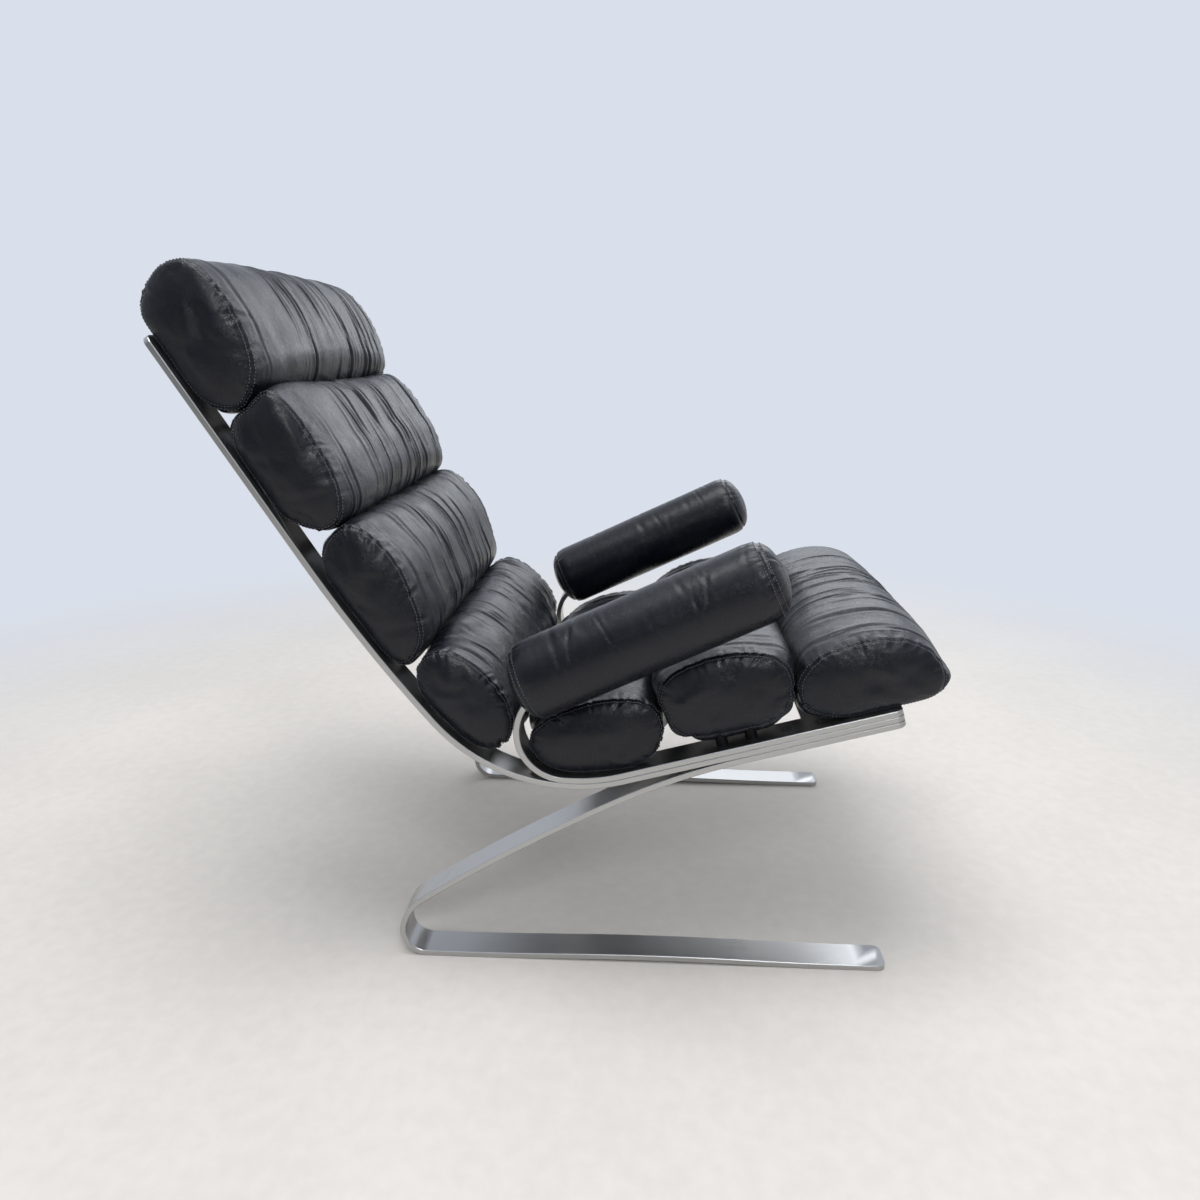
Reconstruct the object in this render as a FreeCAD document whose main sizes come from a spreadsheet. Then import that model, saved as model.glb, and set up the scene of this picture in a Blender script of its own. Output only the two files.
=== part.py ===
import FreeCAD, Part
import math
import os

import Sketcher

# Cantilever lounge chair: two springy flat-steel sides that carry seven leather rolls and two armrests.
# Millimetres and degrees. +Z is up, the sitter faces -Y, and +X is the sitter's left.
# Each side is three bands, one on another under the seat: the base spring, the seat-and-back band
# and the armrest band. Places along the sides are measured from the front end of that stack.

SIDES = (("right", -1), ("left", 1))

# Every driving dimension: name, value, what it is
SIZES = [
    ("band_width", 50, "width of every steel band"),
    ("band_thick", 8, "thickness of every steel band"),
    ("frame_width", 637, "outer face of one side to outer face of the other"),
    ("front_pad", 46, "flat of the runner that stands on the floor in front"),
    ("rear_pad", 46, "flat of the runner that stands on the floor behind"),
    ("arch_radius", 4900, "radius of the runner's gentle arch between its flats"),
    ("arch_turn", 1.6, "slope that the arch reaches"),
    ("heel_radius", 34, "radius of the tight bend at the back of the runner"),
    ("heel_turn", 100.8, "turn of that bend"),
    ("ankle_radius", 66, "radius where the bend opens into the rising arm"),
    ("ankle_turn", 45.5, "turn there"),
    ("arm_radius", 2560, "radius of the long rising arm"),
    ("arm_turn", 6.9, "turn of the long rising arm"),
    ("neck_radius", 926, "radius where the arm comes in under the seat"),
    ("neck_turn", 11.6, "turn there"),
    ("stack_run", 211, "straight end of the base spring, under the seat"),
    ("seat_run", 377, "straight part of the seat band"),
    ("seat_bend_radius", 245, "radius between seat and back"),
    ("seat_bend_turn", 65, "turn between seat and back"),
    ("back_bow_radius", 2000, "radius of the slightly bowed lower back"),
    ("back_bow_turn", 7.6, "turn of the lower back"),
    ("back_run", 332, "straight part of the back band"),
    ("band_chamfer", 0.8, "broken edges of the bands"),
    ("band_corner", 12, "rounding of the band's free ends, seen on the flat"),
    ("curl_follow_turn", 19, "turn that the armrest band shares with the seat bend"),
    ("curl_radius", 65.5, "radius of the armrest band's curl behind the seat"),
    ("curl_turn", 151.2, "turn of the curl"),
    ("armrest_run", 285, "straight part of the armrest band, inside the roll"),
    ("roll_radius", 56, "radius of the armrest roll"),
    ("roll_length", 385, "length of the armrest roll"),
    ("roll_behind", 40, "part of the roll behind the end of the curl"),
    ("roll_lift", 18.5, "roll's axis above the middle of its band"),
    ("roll_out", 13, "roll's axis outside the middle of its band"),
    ("roll_end_radius", 30, "rounding of the roll's ends"),
    ("leather", 2.5, "thickness of a cover with its backing"),
    ("foam_gap", 0.3, "play between a foam and its cover"),
    ("slot_gap", 0.5, "play round a band where it goes into a roll"),
    ("cushion_span", 604, "cushion from seam to seam, across the chair"),
    ("crown_fullness", 2.3, "shape of a cushion's upper corners: 2 is an ellipse, more is squarer"),
    ("panel_bulge", 9, "bulge of a cushion's end panel past its seam"),
    ("lie_half", 28, "from a cushion's middle to each line on which it lies on the steel"),
    ("board_thick", 9, "thickness of a cushion's board"),
    ("board_length", 596, "length of a cushion's board, across the chair"),
    ("screw_radius", 3, "shank radius of a board screw"),
    ("screw_head_radius", 6, "head radius of a board screw"),
    ("screw_grip", 6, "length of a screw inside its board"),
    ("bolt_radius", 4, "shank radius of a frame bolt"),
    ("bolt_head_radius", 8, "head radius of a frame bolt"),
    ("hole_play", 0.15, "play round a screw or bolt"),
    ("bar_width", 40, "width of a cross bar"),
    ("bar_thick", 6, "thickness of a cross bar"),
    ("bar_inset", 18, "end of a cross bar inside the outer face of a side"),
    ("front_bar_place", 104, "place of the front cross bar along the stack"),
    ("stack_bolt_place", 150, "place of the second stack bolt"),
    ("rear_bar_place", 484, "place of the rear cross bar along the seat band"),
    ("spacer_radius", 8, "outer radius of a spacer under the middle seat cushion"),
]

# The seven rolls, from the top of the back to the front of the seat.
# place: along the band. down and up: reach towards the seat's front and towards the back's top.
# height: crest over the underside. crest: place of the highest line. down_mid and up_mid: height of
# the widest line on each side. flat_down and flat_up: the flat on which it lies. lift: underside over
# the steel. waist: how much lower the middle is. screw_down and screw_up: screws from the place.
# board: half the width of the board inside.
CUSHIONS = {
    "headrest": dict(place=1219, down=94, up=95, height=104, crest=20, down_mid=38, up_mid=66,
                     flat_down=42, flat_up=42, lift=0.3, waist=5, screw_down=18, screw_up=18, board=28),
    "upper_back": dict(place=1033, down=95, up=91, height=93, crest=10, down_mid=38, up_mid=68,
                       flat_down=42, flat_up=42, lift=0.3, waist=5, screw_down=18, screw_up=18, board=28),
    "middle_back": dict(place=837, down=99, up=97, height=88, crest=28, down_mid=26, up_mid=52,
                        flat_down=42, flat_up=42, lift=0.7, waist=5, screw_down=18, screw_up=18, board=28),
    "lumbar": dict(place=642, down=76, up=85, height=86, crest=4, down_mid=34, up_mid=44,
                   flat_down=26, flat_up=42, lift=1.5, waist=5, screw_down=16, screw_up=16, board=24),
    "rear_seat": dict(place=417, down=94, up=82, height=94, crest=-46, down_mid=58, up_mid=42,
                      flat_down=26, flat_up=20, lift=1.2, waist=-8, screw_down=13, screw_up=13, board=19),
    "middle_seat": dict(place=217, down=89, up=88, height=106, crest=5, down_mid=50, up_mid=62,
                        flat_down=42, flat_up=42, lift=16, waist=7, screw_down=20, screw_up=20, board=28),
    "front_seat": dict(place=32, down=95, up=93, height=96, crest=4, down_mid=34, up_mid=50,
                       flat_down=42, flat_up=42, lift=0.3, waist=12, screw_down=10, screw_up=20, board=28),
}
SEAT_CUSHIONS = ("rear_seat", "middle_seat", "front_seat")
BACK_CUSHIONS = ("headrest", "upper_back", "middle_back", "lumbar")

# Sections of a cushion across the chair: share of the half span, share of the waist that is left
BODY_STATIONS = ((0.0, 1.0), (0.45, 0.75), (0.8, 0.2), (1.0, 0.0))
# Sections of its end panel: share of the bulge, size against the section at the seam
PANEL_STATIONS = ((0.55, 0.93), (1.0, 0.72))

X_AXIS = FreeCAD.Vector(1, 0, 0)
UP = FreeCAD.Vector(0, 0, 1)

doc = FreeCAD.newDocument("LoungeChair")


def make_sheet():
    """The spreadsheet with one named number for each driving dimension."""
    sheet = doc.addObject("Spreadsheet::Sheet", "Sizes")
    rows = list(SIZES)
    for cushion, values in CUSHIONS.items():
        for key, value in values.items():
            rows.append((cushion + "_" + key, value, cushion.replace("_", " ") + " roll, " + key))
    for row, (name, value, note) in enumerate(rows, start=1):
        sheet.set(f"A{row}", name)
        sheet.set(f"B{row}", str(value))
        sheet.setAlias(f"B{row}", name)
        sheet.set(f"C{row}", note)
    doc.recompute()
    return sheet


SHEET = make_sheet()


def size(name):
    """The value of a named dimension."""
    return float(SHEET.get(name))


class BandPath:
    """The middle line of a bent band in the plane of its side: straight runs and arcs, end to end.

    Steps are ("run", length) and ("bend", radius, turn, hand), with hand 1 to the left and -1 to
    the right. Each size is a name in the sheet or, where it follows from others, a formula.
    """

    def __init__(self, start, heading, steps):
        self.steps = steps
        self.pieces = []
        point = FreeCAD.Vector(0, start[0], start[1])
        angle = math.radians(heading)
        for step in steps:
            if step[0] == "run":
                length = value_of(step[1])
                self.pieces.append((point, angle, length, None))
                point = point + direction(angle) * length
            else:
                radius = value_of(step[1])
                turn = math.radians(value_of(step[2])) * step[3]
                centre = point + direction(angle + math.pi / 2) * (radius * step[3])
                self.pieces.append((point, angle, abs(turn) * radius, (centre, radius, turn)))
                angle += turn
                point = centre - direction(angle + math.pi / 2) * (radius * step[3])
        self.end = point
        self.end_angle = angle
        self.length = sum(piece[2] for piece in self.pieces)

    def at(self, place, offset=0.0):
        """Point and heading at a place along the path, moved to the left by offset."""
        left = place
        for index, (point, angle, length, arc) in enumerate(self.pieces):
            if left <= length or index == len(self.pieces) - 1:
                break
            left -= length
        if arc is None:
            spot = point + direction(angle) * left
        else:
            centre, radius, turn = arc
            hand = math.copysign(1, turn)
            angle += hand * left / radius
            spot = centre - direction(angle + math.pi / 2) * (radius * hand)
        return spot + direction(angle + math.pi / 2) * offset, angle


def value_of(entry):
    """A size from its name in the sheet, or the value of a formula over such names."""
    if isinstance(entry, str):
        return size(entry)
    return entry[0]


def direction(angle):
    """Unit vector in the plane of a side, from the +Y axis towards +Z."""
    return FreeCAD.Vector(0, math.cos(angle), math.sin(angle))


def expression_of(entry, unit=""):
    """The formula that binds a constraint to the sheet."""
    formula = "Sizes." + entry if isinstance(entry, str) else entry[1]
    return "(" + formula + ")" + unit


def origin_plane(body, role):
    """One of a body's own origin planes."""
    return next(item for item in body.Origin.OriginFeatures if item.Role == role)


def new_sketch(body, name, role):
    sketch = body.newObject("Sketcher::SketchObject", name)
    sketch.AttachmentSupport = [(origin_plane(body, role), "")]
    sketch.MapMode = "FlatFace"
    return sketch


def bind(sketch, constraint, name, formula):
    """Adds a constraint and ties its value to the sheet."""
    index = sketch.addConstraint(constraint)
    sketch.renameConstraint(index, name)
    sketch.setExpression("Constraints." + name, formula)


def draw_path(body, name, path, start_height):
    """The path as a sketch in the YZ plane of its body: it starts on the vertical axis."""
    sketch = new_sketch(body, name, "YZ_Plane")
    flat = FreeCAD.Vector(0, 0, 1)
    last_end = None
    for number, (step, piece) in enumerate(zip(path.steps, path.pieces)):
        point, angle, length, arc = piece
        if arc is None:
            ahead = point + direction(angle) * length
            line = Part.LineSegment(FreeCAD.Vector(point.y, point.z, 0), FreeCAD.Vector(ahead.y, ahead.z, 0))
            item = sketch.addGeometry(line)
            first, last = 1, 2
        else:
            centre, radius, turn = arc
            circle = Part.Circle(FreeCAD.Vector(centre.y, centre.z, 0), flat, radius)
            begin = angle - math.copysign(math.pi / 2, turn)
            ends = sorted((begin, begin + turn))
            item = sketch.addGeometry(Part.ArcOfCircle(circle, ends[0], ends[1]))
            first, last = (1, 2) if turn > 0 else (2, 1)
        if last_end is None:
            sketch.addConstraint(Sketcher.Constraint("Horizontal", item))
            sketch.addConstraint(Sketcher.Constraint("PointOnObject", item, first, -2))
            start = Sketcher.Constraint("DistanceY", -1, 1, item, first, point.z)
            bind(sketch, start, "start_height", start_height)
        else:
            sketch.addConstraint(Sketcher.Constraint("Tangent", last_end[0], last_end[1], item, first))
        if arc is None:
            bind(sketch, Sketcher.Constraint("Distance", item, length), f"run{number}", expression_of(step[1]))
        else:
            bind(sketch, Sketcher.Constraint("Radius", item, radius), f"radius{number}", expression_of(step[1]))
            angle_constraint = Sketcher.Constraint("Angle", item, abs(turn))
            bind(sketch, angle_constraint, f"turn{number}", expression_of(step[2], " * 1 deg"))
        last_end = (item, last)
    return sketch


def draw_strip_section(body, name, start_height):
    """The band's cross-section, square to the start of its path."""
    sketch = new_sketch(body, name, "XZ_Plane")
    half = size("band_width") / 2
    middle = start_height[0]
    low = middle - size("band_thick") / 2
    high = middle + size("band_thick") / 2
    corners = [(-half, low), (half, low), (half, high), (-half, high)]
    for index in range(4):
        ends = [FreeCAD.Vector(*corners[index], 0), FreeCAD.Vector(*corners[(index + 1) % 4], 0)]
        sketch.addGeometry(Part.LineSegment(*ends))
    for index in range(4):
        sketch.addConstraint(Sketcher.Constraint("Coincident", index, 2, (index + 1) % 4, 1))
    for index in (0, 2):
        sketch.addConstraint(Sketcher.Constraint("Horizontal", index))
    for index in (1, 3):
        sketch.addConstraint(Sketcher.Constraint("Vertical", index))
    half_width = Sketcher.Constraint("DistanceX", -1, 1, 0, 2, half)
    bind(sketch, half_width, "half_width", "Sizes.band_width / 2")
    bind(sketch, Sketcher.Constraint("Distance", 0, 2 * half), "width", "Sizes.band_width")
    bind(sketch, Sketcher.Constraint("Distance", 1, high - low), "thickness", "Sizes.band_thick")
    low_edge = Sketcher.Constraint("DistanceY", -1, 1, 0, 1, low)
    bind(sketch, low_edge, "low_edge", "(" + start_height[1] + ") - Sizes.band_thick / 2")
    return sketch


def corner_edges(shape, path):
    """Names of the edges through the thickness at the free ends of a band."""
    names = []
    ends = (path.at(0)[0], path.at(path.length)[0])
    for number, edge in enumerate(shape.Edges, start=1):
        centre = edge.CenterOfMass
        flat_centre = FreeCAD.Vector(0, centre.y, centre.z)
        at_end = min(flat_centre.distanceToPoint(end) for end in ends) < 0.01
        at_side = abs(abs(centre.x) - size("band_width") / 2) < 0.01
        if at_end and at_side:
            names.append(f"Edge{number}")
    return names


def sharp_edges(shape):
    """Names of the edges where two faces meet at a clear angle."""
    sides = {}
    for face in shape.Faces:
        for edge in face.Edges:
            sides.setdefault(edge.hashCode(), []).append(face)
    names = []
    for number, edge in enumerate(shape.Edges, start=1):
        middle = edge.valueAt((edge.FirstParameter + edge.LastParameter) / 2)
        normals = []
        for face in sides[edge.hashCode()]:
            normals.append(face.normalAt(*face.Surface.parameter(middle)))
        if len(normals) == 2 and normals[0].dot(normals[1]) < 0.5:
            names.append(f"Edge{number}")
    return names


def make_band(label, path, start_height, place):
    """A flat band bent along a path, with rounded corners and broken edges: a body of its own."""
    body = doc.addObject("PartDesign::Body", label + "_body")
    spine = draw_path(body, label + "_path", path, start_height[1])
    section = draw_strip_section(body, label + "_section", start_height)
    pipe = body.newObject("PartDesign::AdditivePipe", label + "_strip")
    pipe.Profile = section
    pipe.Spine = spine
    doc.recompute()
    rounded = body.newObject("PartDesign::Fillet", label + "_corners")
    rounded.Base = (pipe, corner_edges(pipe.Shape, path))
    rounded.setExpression("Radius", "Sizes.band_corner")
    doc.recompute()
    broken = body.newObject("PartDesign::Chamfer", label + "_edges")
    broken.Base = (rounded, sharp_edges(rounded.Shape))
    broken.setExpression("Size", "Sizes.band_chamfer")
    doc.recompute()
    body.Placement = place
    return body


def fastener_shape(radius, head_radius, length):
    """A countersunk screw or bolt that stands on its shank's tip, with its head's face up."""
    slope = head_radius - radius
    head = Part.makeCone(radius, head_radius, slope, FreeCAD.Vector(0, 0, length - slope), UP)
    shank = Part.makeCylinder(radius, length - slope, FreeCAD.Vector(0, 0, 0), UP)
    socket = Part.makeCylinder(radius * 0.6, slope, FreeCAD.Vector(0, 0, length - slope * 0.8), UP)
    return shank.fuse(head).removeSplitter().cut(socket)


def hole_shape(radius, head_radius, length):
    """What a fastener takes out of the pieces that it goes through."""
    play = size("hole_play")
    wall = radius + play
    mouth = head_radius + play
    outline = [
        (0, -play), (wall, -play), (wall, length - mouth + wall),
        (mouth, length), (mouth, length + play), (0, length + play), (0, -play),
    ]
    profile = Part.makePolygon([FreeCAD.Vector(across, 0, along) for across, along in outline])
    return Part.Face(profile).revolve(FreeCAD.Vector(0, 0, 0), UP, 360)


def set_along(shape, spot, towards):
    """A copy of a shape that stands on +Z, moved to spot with its head's face towards a direction."""
    turned = shape.copy()
    turned.Placement = FreeCAD.Placement(spot, FreeCAD.Rotation(UP, towards))
    return turned


def add_feature(label, shape):
    feature = doc.addObject("Part::Feature", label)
    feature.Label = label
    feature.Shape = shape
    return feature


def cut_by(label, base, tools):
    """The base object with the tool shapes taken out, as a cut of its own."""
    tool = doc.addObject("Part::Feature", label + "_holes")
    tool.Shape = Part.makeCompound(tools)
    cut = doc.addObject("Part::Cut", label)
    cut.Base = base
    cut.Tool = tool
    cut.Label = label
    return cut


# The middle lines of the bands. The base spring stands on the floor, and its front end carries the rest.
thick = size("band_thick")
half_thick = (thick / 2, "Sizes.band_thick / 2")
double_arch = (2 * size("arch_turn"), "2 * Sizes.arch_turn")
base_path = BandPath(
    (0, half_thick[0]), 0,
    [
        ("run", "front_pad"),
        ("bend", "arch_radius", "arch_turn", 1),
        ("bend", "arch_radius", double_arch, -1),
        ("bend", "arch_radius", "arch_turn", 1),
        ("run", "rear_pad"),
        ("bend", "heel_radius", "heel_turn", 1),
        ("bend", "ankle_radius", "ankle_turn", 1),
        ("bend", "arm_radius", "arm_turn", 1),
        ("bend", "neck_radius", "neck_turn", 1),
        ("run", "stack_run"),
    ],
)

# The stack's own frame lies along the front end of the base spring, and runs to the rear from there.
slope = base_path.end_angle - math.pi
stack = FreeCAD.Placement(base_path.end, FreeCAD.Rotation(X_AXIS, math.degrees(slope)))
one_up = (thick, "Sizes.band_thick")
two_up = (2 * thick, "2 * Sizes.band_thick")
follow_radius = (size("seat_bend_radius") - thick, "Sizes.seat_bend_radius - Sizes.band_thick")
seat_path = BandPath(
    (0, one_up[0]), 0,
    [
        ("run", "seat_run"),
        ("bend", "seat_bend_radius", "seat_bend_turn", 1),
        ("bend", "back_bow_radius", "back_bow_turn", 1),
        ("run", "back_run"),
    ],
)
armrest_path = BandPath(
    (0, two_up[0]), 0,
    [
        ("run", "seat_run"),
        ("bend", follow_radius, "curl_follow_turn", 1),
        ("bend", "curl_radius", "curl_turn", 1),
        ("run", "armrest_run"),
    ],
)


def cell(cushion, key):
    return size(cushion + "_" + key)


def support(cushion):
    """Path that carries a cushion, and the height of its upper face over the path's middle line."""
    if cushion in SEAT_CUSHIONS:
        return armrest_path, thick / 2, two_up[0]
    return seat_path, thick / 2, one_up[0]


def place_on(cushion):
    """Frame of a cushion: its origin on the steel, Y along the band, Z square to the band."""
    path, face, _ = support(cushion)
    half = size("lie_half")
    low, _ = path.at(cell(cushion, "place") - half, face)
    high, _ = path.at(cell(cushion, "place") + half, face)
    along = (high - low).normalize()
    angle = math.atan2(along.z, along.y)
    seat = (low + high) * 0.5 + direction(angle + math.pi / 2) * cell(cushion, "lift")
    return stack.multiply(FreeCAD.Placement(seat, FreeCAD.Rotation(X_AXIS, math.degrees(angle))))


def quarter(centre, wide, tall, begin, end, fullness):
    """Points at the start, middle and end of a stretch of an oval, as angles in degrees.

    A fullness of 2 gives an ellipse, a higher one a squarer oval.
    """
    points = []
    for angle in (begin, (begin + end) / 2, end):
        turn = math.radians(angle)
        across = math.copysign(abs(math.cos(turn)) ** (2 / fullness), math.cos(turn))
        upward = math.copysign(abs(math.sin(turn)) ** (2 / fullness), math.sin(turn))
        points.append(FreeCAD.Vector(0, centre[0] + wide * across, centre[1] + tall * upward))
    return points


def section_wire(cushion, grow, waist_share, shrink, x):
    """Outline of a cushion at x: a flat underside, round flanks and a crown, all in arcs."""
    waist = cell(cushion, "waist") * waist_share
    down = cell(cushion, "down") + grow - waist / 2
    up = cell(cushion, "up") + grow - waist / 2
    low = -grow
    top = cell(cushion, "height") + grow - waist
    down_mid = cell(cushion, "down_mid") - waist / 2
    up_mid = cell(cushion, "up_mid") - waist / 2
    crest = cell(cushion, "crest")
    flat_up = cell(cushion, "flat_up")
    flat_down = cell(cushion, "flat_down")
    full = size("crown_fullness")
    corners = [
        quarter((flat_up, up_mid), up - flat_up, up_mid - low, -90, -45, 2),
        quarter((flat_up, up_mid), up - flat_up, up_mid - low, -45, 0, 2),
        quarter((crest, up_mid), up - crest, top - up_mid, 0, 45, full),
        quarter((crest, up_mid), up - crest, top - up_mid, 45, 90, full),
        quarter((crest, down_mid), down + crest, top - down_mid, 90, 135, full),
        quarter((crest, down_mid), down + crest, top - down_mid, 135, 180, full),
        quarter((-flat_down, down_mid), down - flat_down, down_mid - low, 180, 225, 2),
        quarter((-flat_down, down_mid), down - flat_down, down_mid - low, 225, 270, 2),
    ]
    middle = FreeCAD.Vector(0, crest * 0.5, (top + low) / 2)
    placed = []
    for arc in corners:
        placed.append([middle + (point - middle) * shrink + X_AXIS * x for point in arc])
    edges = [Part.Arc(*arc).toShape() for arc in placed]
    edges.append(Part.LineSegment(placed[-1][2], placed[0][0]).toShape())
    return Part.Wire(edges)


def cushion_form(cushion, grow):
    """A cushion's crowned form, grown or, where grow is negative, drawn in."""
    half = size("cushion_span") / 2
    bulge = size("panel_bulge") + grow
    right = []
    for share, waist_share in BODY_STATIONS:
        right.append((half * share, waist_share, 1.0))
    for share, shrink in PANEL_STATIONS:
        right.append((half + bulge * share, 0.0, shrink))
    stations = [(-x, waist_share, shrink) for x, waist_share, shrink in reversed(right[1:])] + right
    wires = [section_wire(cushion, grow, waist_share, shrink, x) for x, waist_share, shrink in stations]
    return Part.makeLoft(wires, True, True)


def board_box(cushion):
    """The board inside a cushion, on the leather of its underside."""
    half = cell(cushion, "board")
    length = size("board_length")
    corner = FreeCAD.Vector(-length / 2, -half, size("leather"))
    return Part.makeBox(length, 2 * half, size("board_thick"), corner)


def side_middle(side):
    """X of the middle of a side's bands."""
    return side * (size("frame_width") - size("band_width")) / 2


def layers_under(cushion, place):
    """How many bands lie under a cushion's screw."""
    if cushion not in SEAT_CUSHIONS:
        return 1
    return 3 if place < size("stack_run") - size("screw_head_radius") else 2


def screw_places(cushion):
    """Each screw of a cushion in the cushion's frame: x, y, and the depth of its head's face."""
    places = []
    for key, hand in (("screw_down", -1), ("screw_up", 1)):
        along = hand * cell(cushion, key)
        layers = layers_under(cushion, cell(cushion, "place") + along)
        for _, side in SIDES:
            places.append((side_middle(side), along, layers))
    return places


def screw_axis(cushion, x, along, layers):
    """Tip and head direction of a screw in the chair's frame, and its length."""
    path, face, _ = support(cushion)
    place = cell(cushion, "place") + along
    on_face, angle = path.at(place, face)
    inward = direction(angle + math.pi / 2)
    steel = layers * thick
    depth = cell(cushion, "lift") + size("leather") + size("screw_grip")
    frame = place_on(cushion)
    seat = stack.inverse().multVec(frame.multVec(FreeCAD.Vector(0, along, 0)))
    bow = (seat - on_face).dot(inward) - cell(cushion, "lift")
    tip = on_face + inward * (depth + bow)
    world_tip = stack.multVec(FreeCAD.Vector(x, tip.y, tip.z))
    outward = stack.Rotation.multVec(inward * -1)
    return world_tip, outward, steel + depth + bow


def fasteners(axes, radius, head_radius, maker):
    return [set_along(maker(radius, head_radius, length), tip, out) for tip, out, length in axes]


def cushion_axes(cushion):
    return [screw_axis(cushion, *place) for place in screw_places(cushion)]


def frame_bolt_axis(path, face, place, x, length):
    """A bolt whose head is flush in a band's upper face and points down from there."""
    on_face, angle = path.at(place, face)
    inward = direction(angle + math.pi / 2)
    tip = on_face - inward * length
    world_tip = stack.multVec(FreeCAD.Vector(x, tip.y, tip.z))
    return world_tip, stack.Rotation.multVec(inward), length


def bolt_sets():
    """Axes of the bolts that hold the stack and the two cross bars."""
    middles = [side_middle(side) for _, side in SIDES]
    bar = size("bar_thick")
    sets = {
        "front_bar_bolts": [(armrest_path, "front_bar_place", 3 * thick + bar)],
        "stack_bolts": [(armrest_path, "stack_bolt_place", 3 * thick)],
        "rear_bar_bolts": [(seat_path, "rear_bar_place", thick + bar)],
    }
    axes = {}
    for label, rows in sets.items():
        axes[label] = []
        for path, place, length in rows:
            for middle in middles:
                axes[label].append(frame_bolt_axis(path, thick / 2, size(place), middle, length))
    return axes


BOLT_AXES = bolt_sets()
SCREW_AXES = {cushion: cushion_axes(cushion) for cushion in CUSHIONS}
SCREW_HOLES = {}
for cushion_name, cushion_screw_axes in SCREW_AXES.items():
    SCREW_HOLES[cushion_name] = fasteners(
        cushion_screw_axes, size("screw_radius"), size("screw_head_radius"), hole_shape)
BOLT_HOLES = {}
for bolt_label, bolt_axes in BOLT_AXES.items():
    BOLT_HOLES[bolt_label] = fasteners(bolt_axes, size("bolt_radius"), size("bolt_head_radius"), hole_shape)


def holes_for(side, cushions, bolts):
    """The hole shapes on one side of the chair."""
    every = []
    for cushion in cushions:
        every += SCREW_HOLES[cushion]
    for label in bolts:
        every += BOLT_HOLES[label]
    return [hole for hole in every if hole.BoundBox.Center.x * side > 0]


def band_solid(path, width, depth, middle_x):
    """A plain solid along a path, for what a band takes out of a roll."""
    edges_left = []
    edges_right = []
    for point, angle, length, arc in path.pieces:
        for edges, hand in ((edges_left, 1), (edges_right, -1)):
            offset = hand * depth / 2
            begin = point + direction(angle + math.pi / 2) * offset
            if arc is None:
                finish = begin + direction(angle) * length
                edges.append(Part.makeLine(begin, finish))
            else:
                centre, radius, turn = arc
                reach = begin - centre
                spots = []
                for share in (0, 0.5, 1):
                    spin = FreeCAD.Rotation(X_AXIS, math.degrees(turn * share))
                    spots.append(centre + spin.multVec(reach))
                edges.append(Part.Arc(*spots).toShape())
    first_left = edges_left[0].Vertexes[0].Point
    first_right = edges_right[0].Vertexes[0].Point
    last_left = edges_left[-1].Vertexes[-1].Point
    last_right = edges_right[-1].Vertexes[-1].Point
    ends = [Part.makeLine(first_left, first_right), Part.makeLine(last_left, last_right)]
    ring = Part.Wire(Part.__sortEdges__(edges_left + edges_right + ends))
    face = Part.Face(ring)
    face.translate(FreeCAD.Vector(middle_x - width / 2, 0, 0))
    return face.extrude(X_AXIS * width)


def make_sides():
    """Both sides: base spring, seat-and-back band and armrest band."""
    pieces = []
    for word, side in SIDES:
        across = FreeCAD.Placement(FreeCAD.Vector(side_middle(side), 0, 0), FreeCAD.Rotation())
        base = make_band(word + "_base", base_path, half_thick, across)
        base_holes = holes_for(side, ("front_seat", "middle_seat"), ("front_bar_bolts", "stack_bolts"))
        pieces.append(cut_by(word + "_base_spring", base, base_holes))
        seat = make_band(word + "_seat", seat_path, one_up, across.multiply(stack))
        every = ("front_bar_bolts", "stack_bolts", "rear_bar_bolts")
        pieces.append(cut_by(word + "_seat_back_band", seat, holes_for(side, CUSHIONS, every)))
        rest = make_band(word + "_rest", armrest_path, two_up, across.multiply(stack))
        rest_holes = holes_for(side, SEAT_CUSHIONS, ("front_bar_bolts", "stack_bolts"))
        pieces.append(cut_by(word + "_armrest_band", rest, rest_holes))
    return pieces


def make_cross_bar(label, path, layers_down, place, bolts):
    """A flat bar under the bands, from side to side."""
    middle, angle = path.at(size(place), thick / 2 - layers_down * thick)
    length = size("frame_width") - 2 * size("bar_inset")
    box = doc.addObject("Part::Box", label + "_blank")
    box.setExpression("Length", "Sizes.frame_width - 2 * Sizes.bar_inset")
    box.setExpression("Width", "Sizes.bar_width")
    box.setExpression("Height", "Sizes.bar_thick")
    corner = FreeCAD.Vector(-length / 2, -size("bar_width") / 2, -size("bar_thick"))
    tilt = FreeCAD.Placement(middle, FreeCAD.Rotation(X_AXIS, math.degrees(angle)))
    box.Placement = stack.multiply(tilt).multiply(FreeCAD.Placement(corner, FreeCAD.Rotation()))
    return cut_by(label, box, BOLT_HOLES[bolts])


def make_cross_bars():
    return [
        make_cross_bar("front_cross_bar", armrest_path, 3, "front_bar_place", "front_bar_bolts"),
        make_cross_bar("rear_cross_bar", seat_path, 1, "rear_bar_place", "rear_bar_bolts"),
    ]


def make_fasteners():
    """Bolts of the frame and screws of the boards, each kind as one group of separate solids."""
    groups = []
    for label, axes in BOLT_AXES.items():
        solids = fasteners(axes, size("bolt_radius"), size("bolt_head_radius"), fastener_shape)
        groups.append(add_feature(label, Part.makeCompound(solids)))
    rows = {cushion + "_screws": [cushion] for cushion in SEAT_CUSHIONS}
    rows["back_screws"] = list(BACK_CUSHIONS)
    for label, cushions in rows.items():
        solids = []
        for cushion in cushions:
            solids += fasteners(
                SCREW_AXES[cushion], size("screw_radius"), size("screw_head_radius"), fastener_shape)
        groups.append(add_feature(label, Part.makeCompound(solids)))
    return groups


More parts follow.
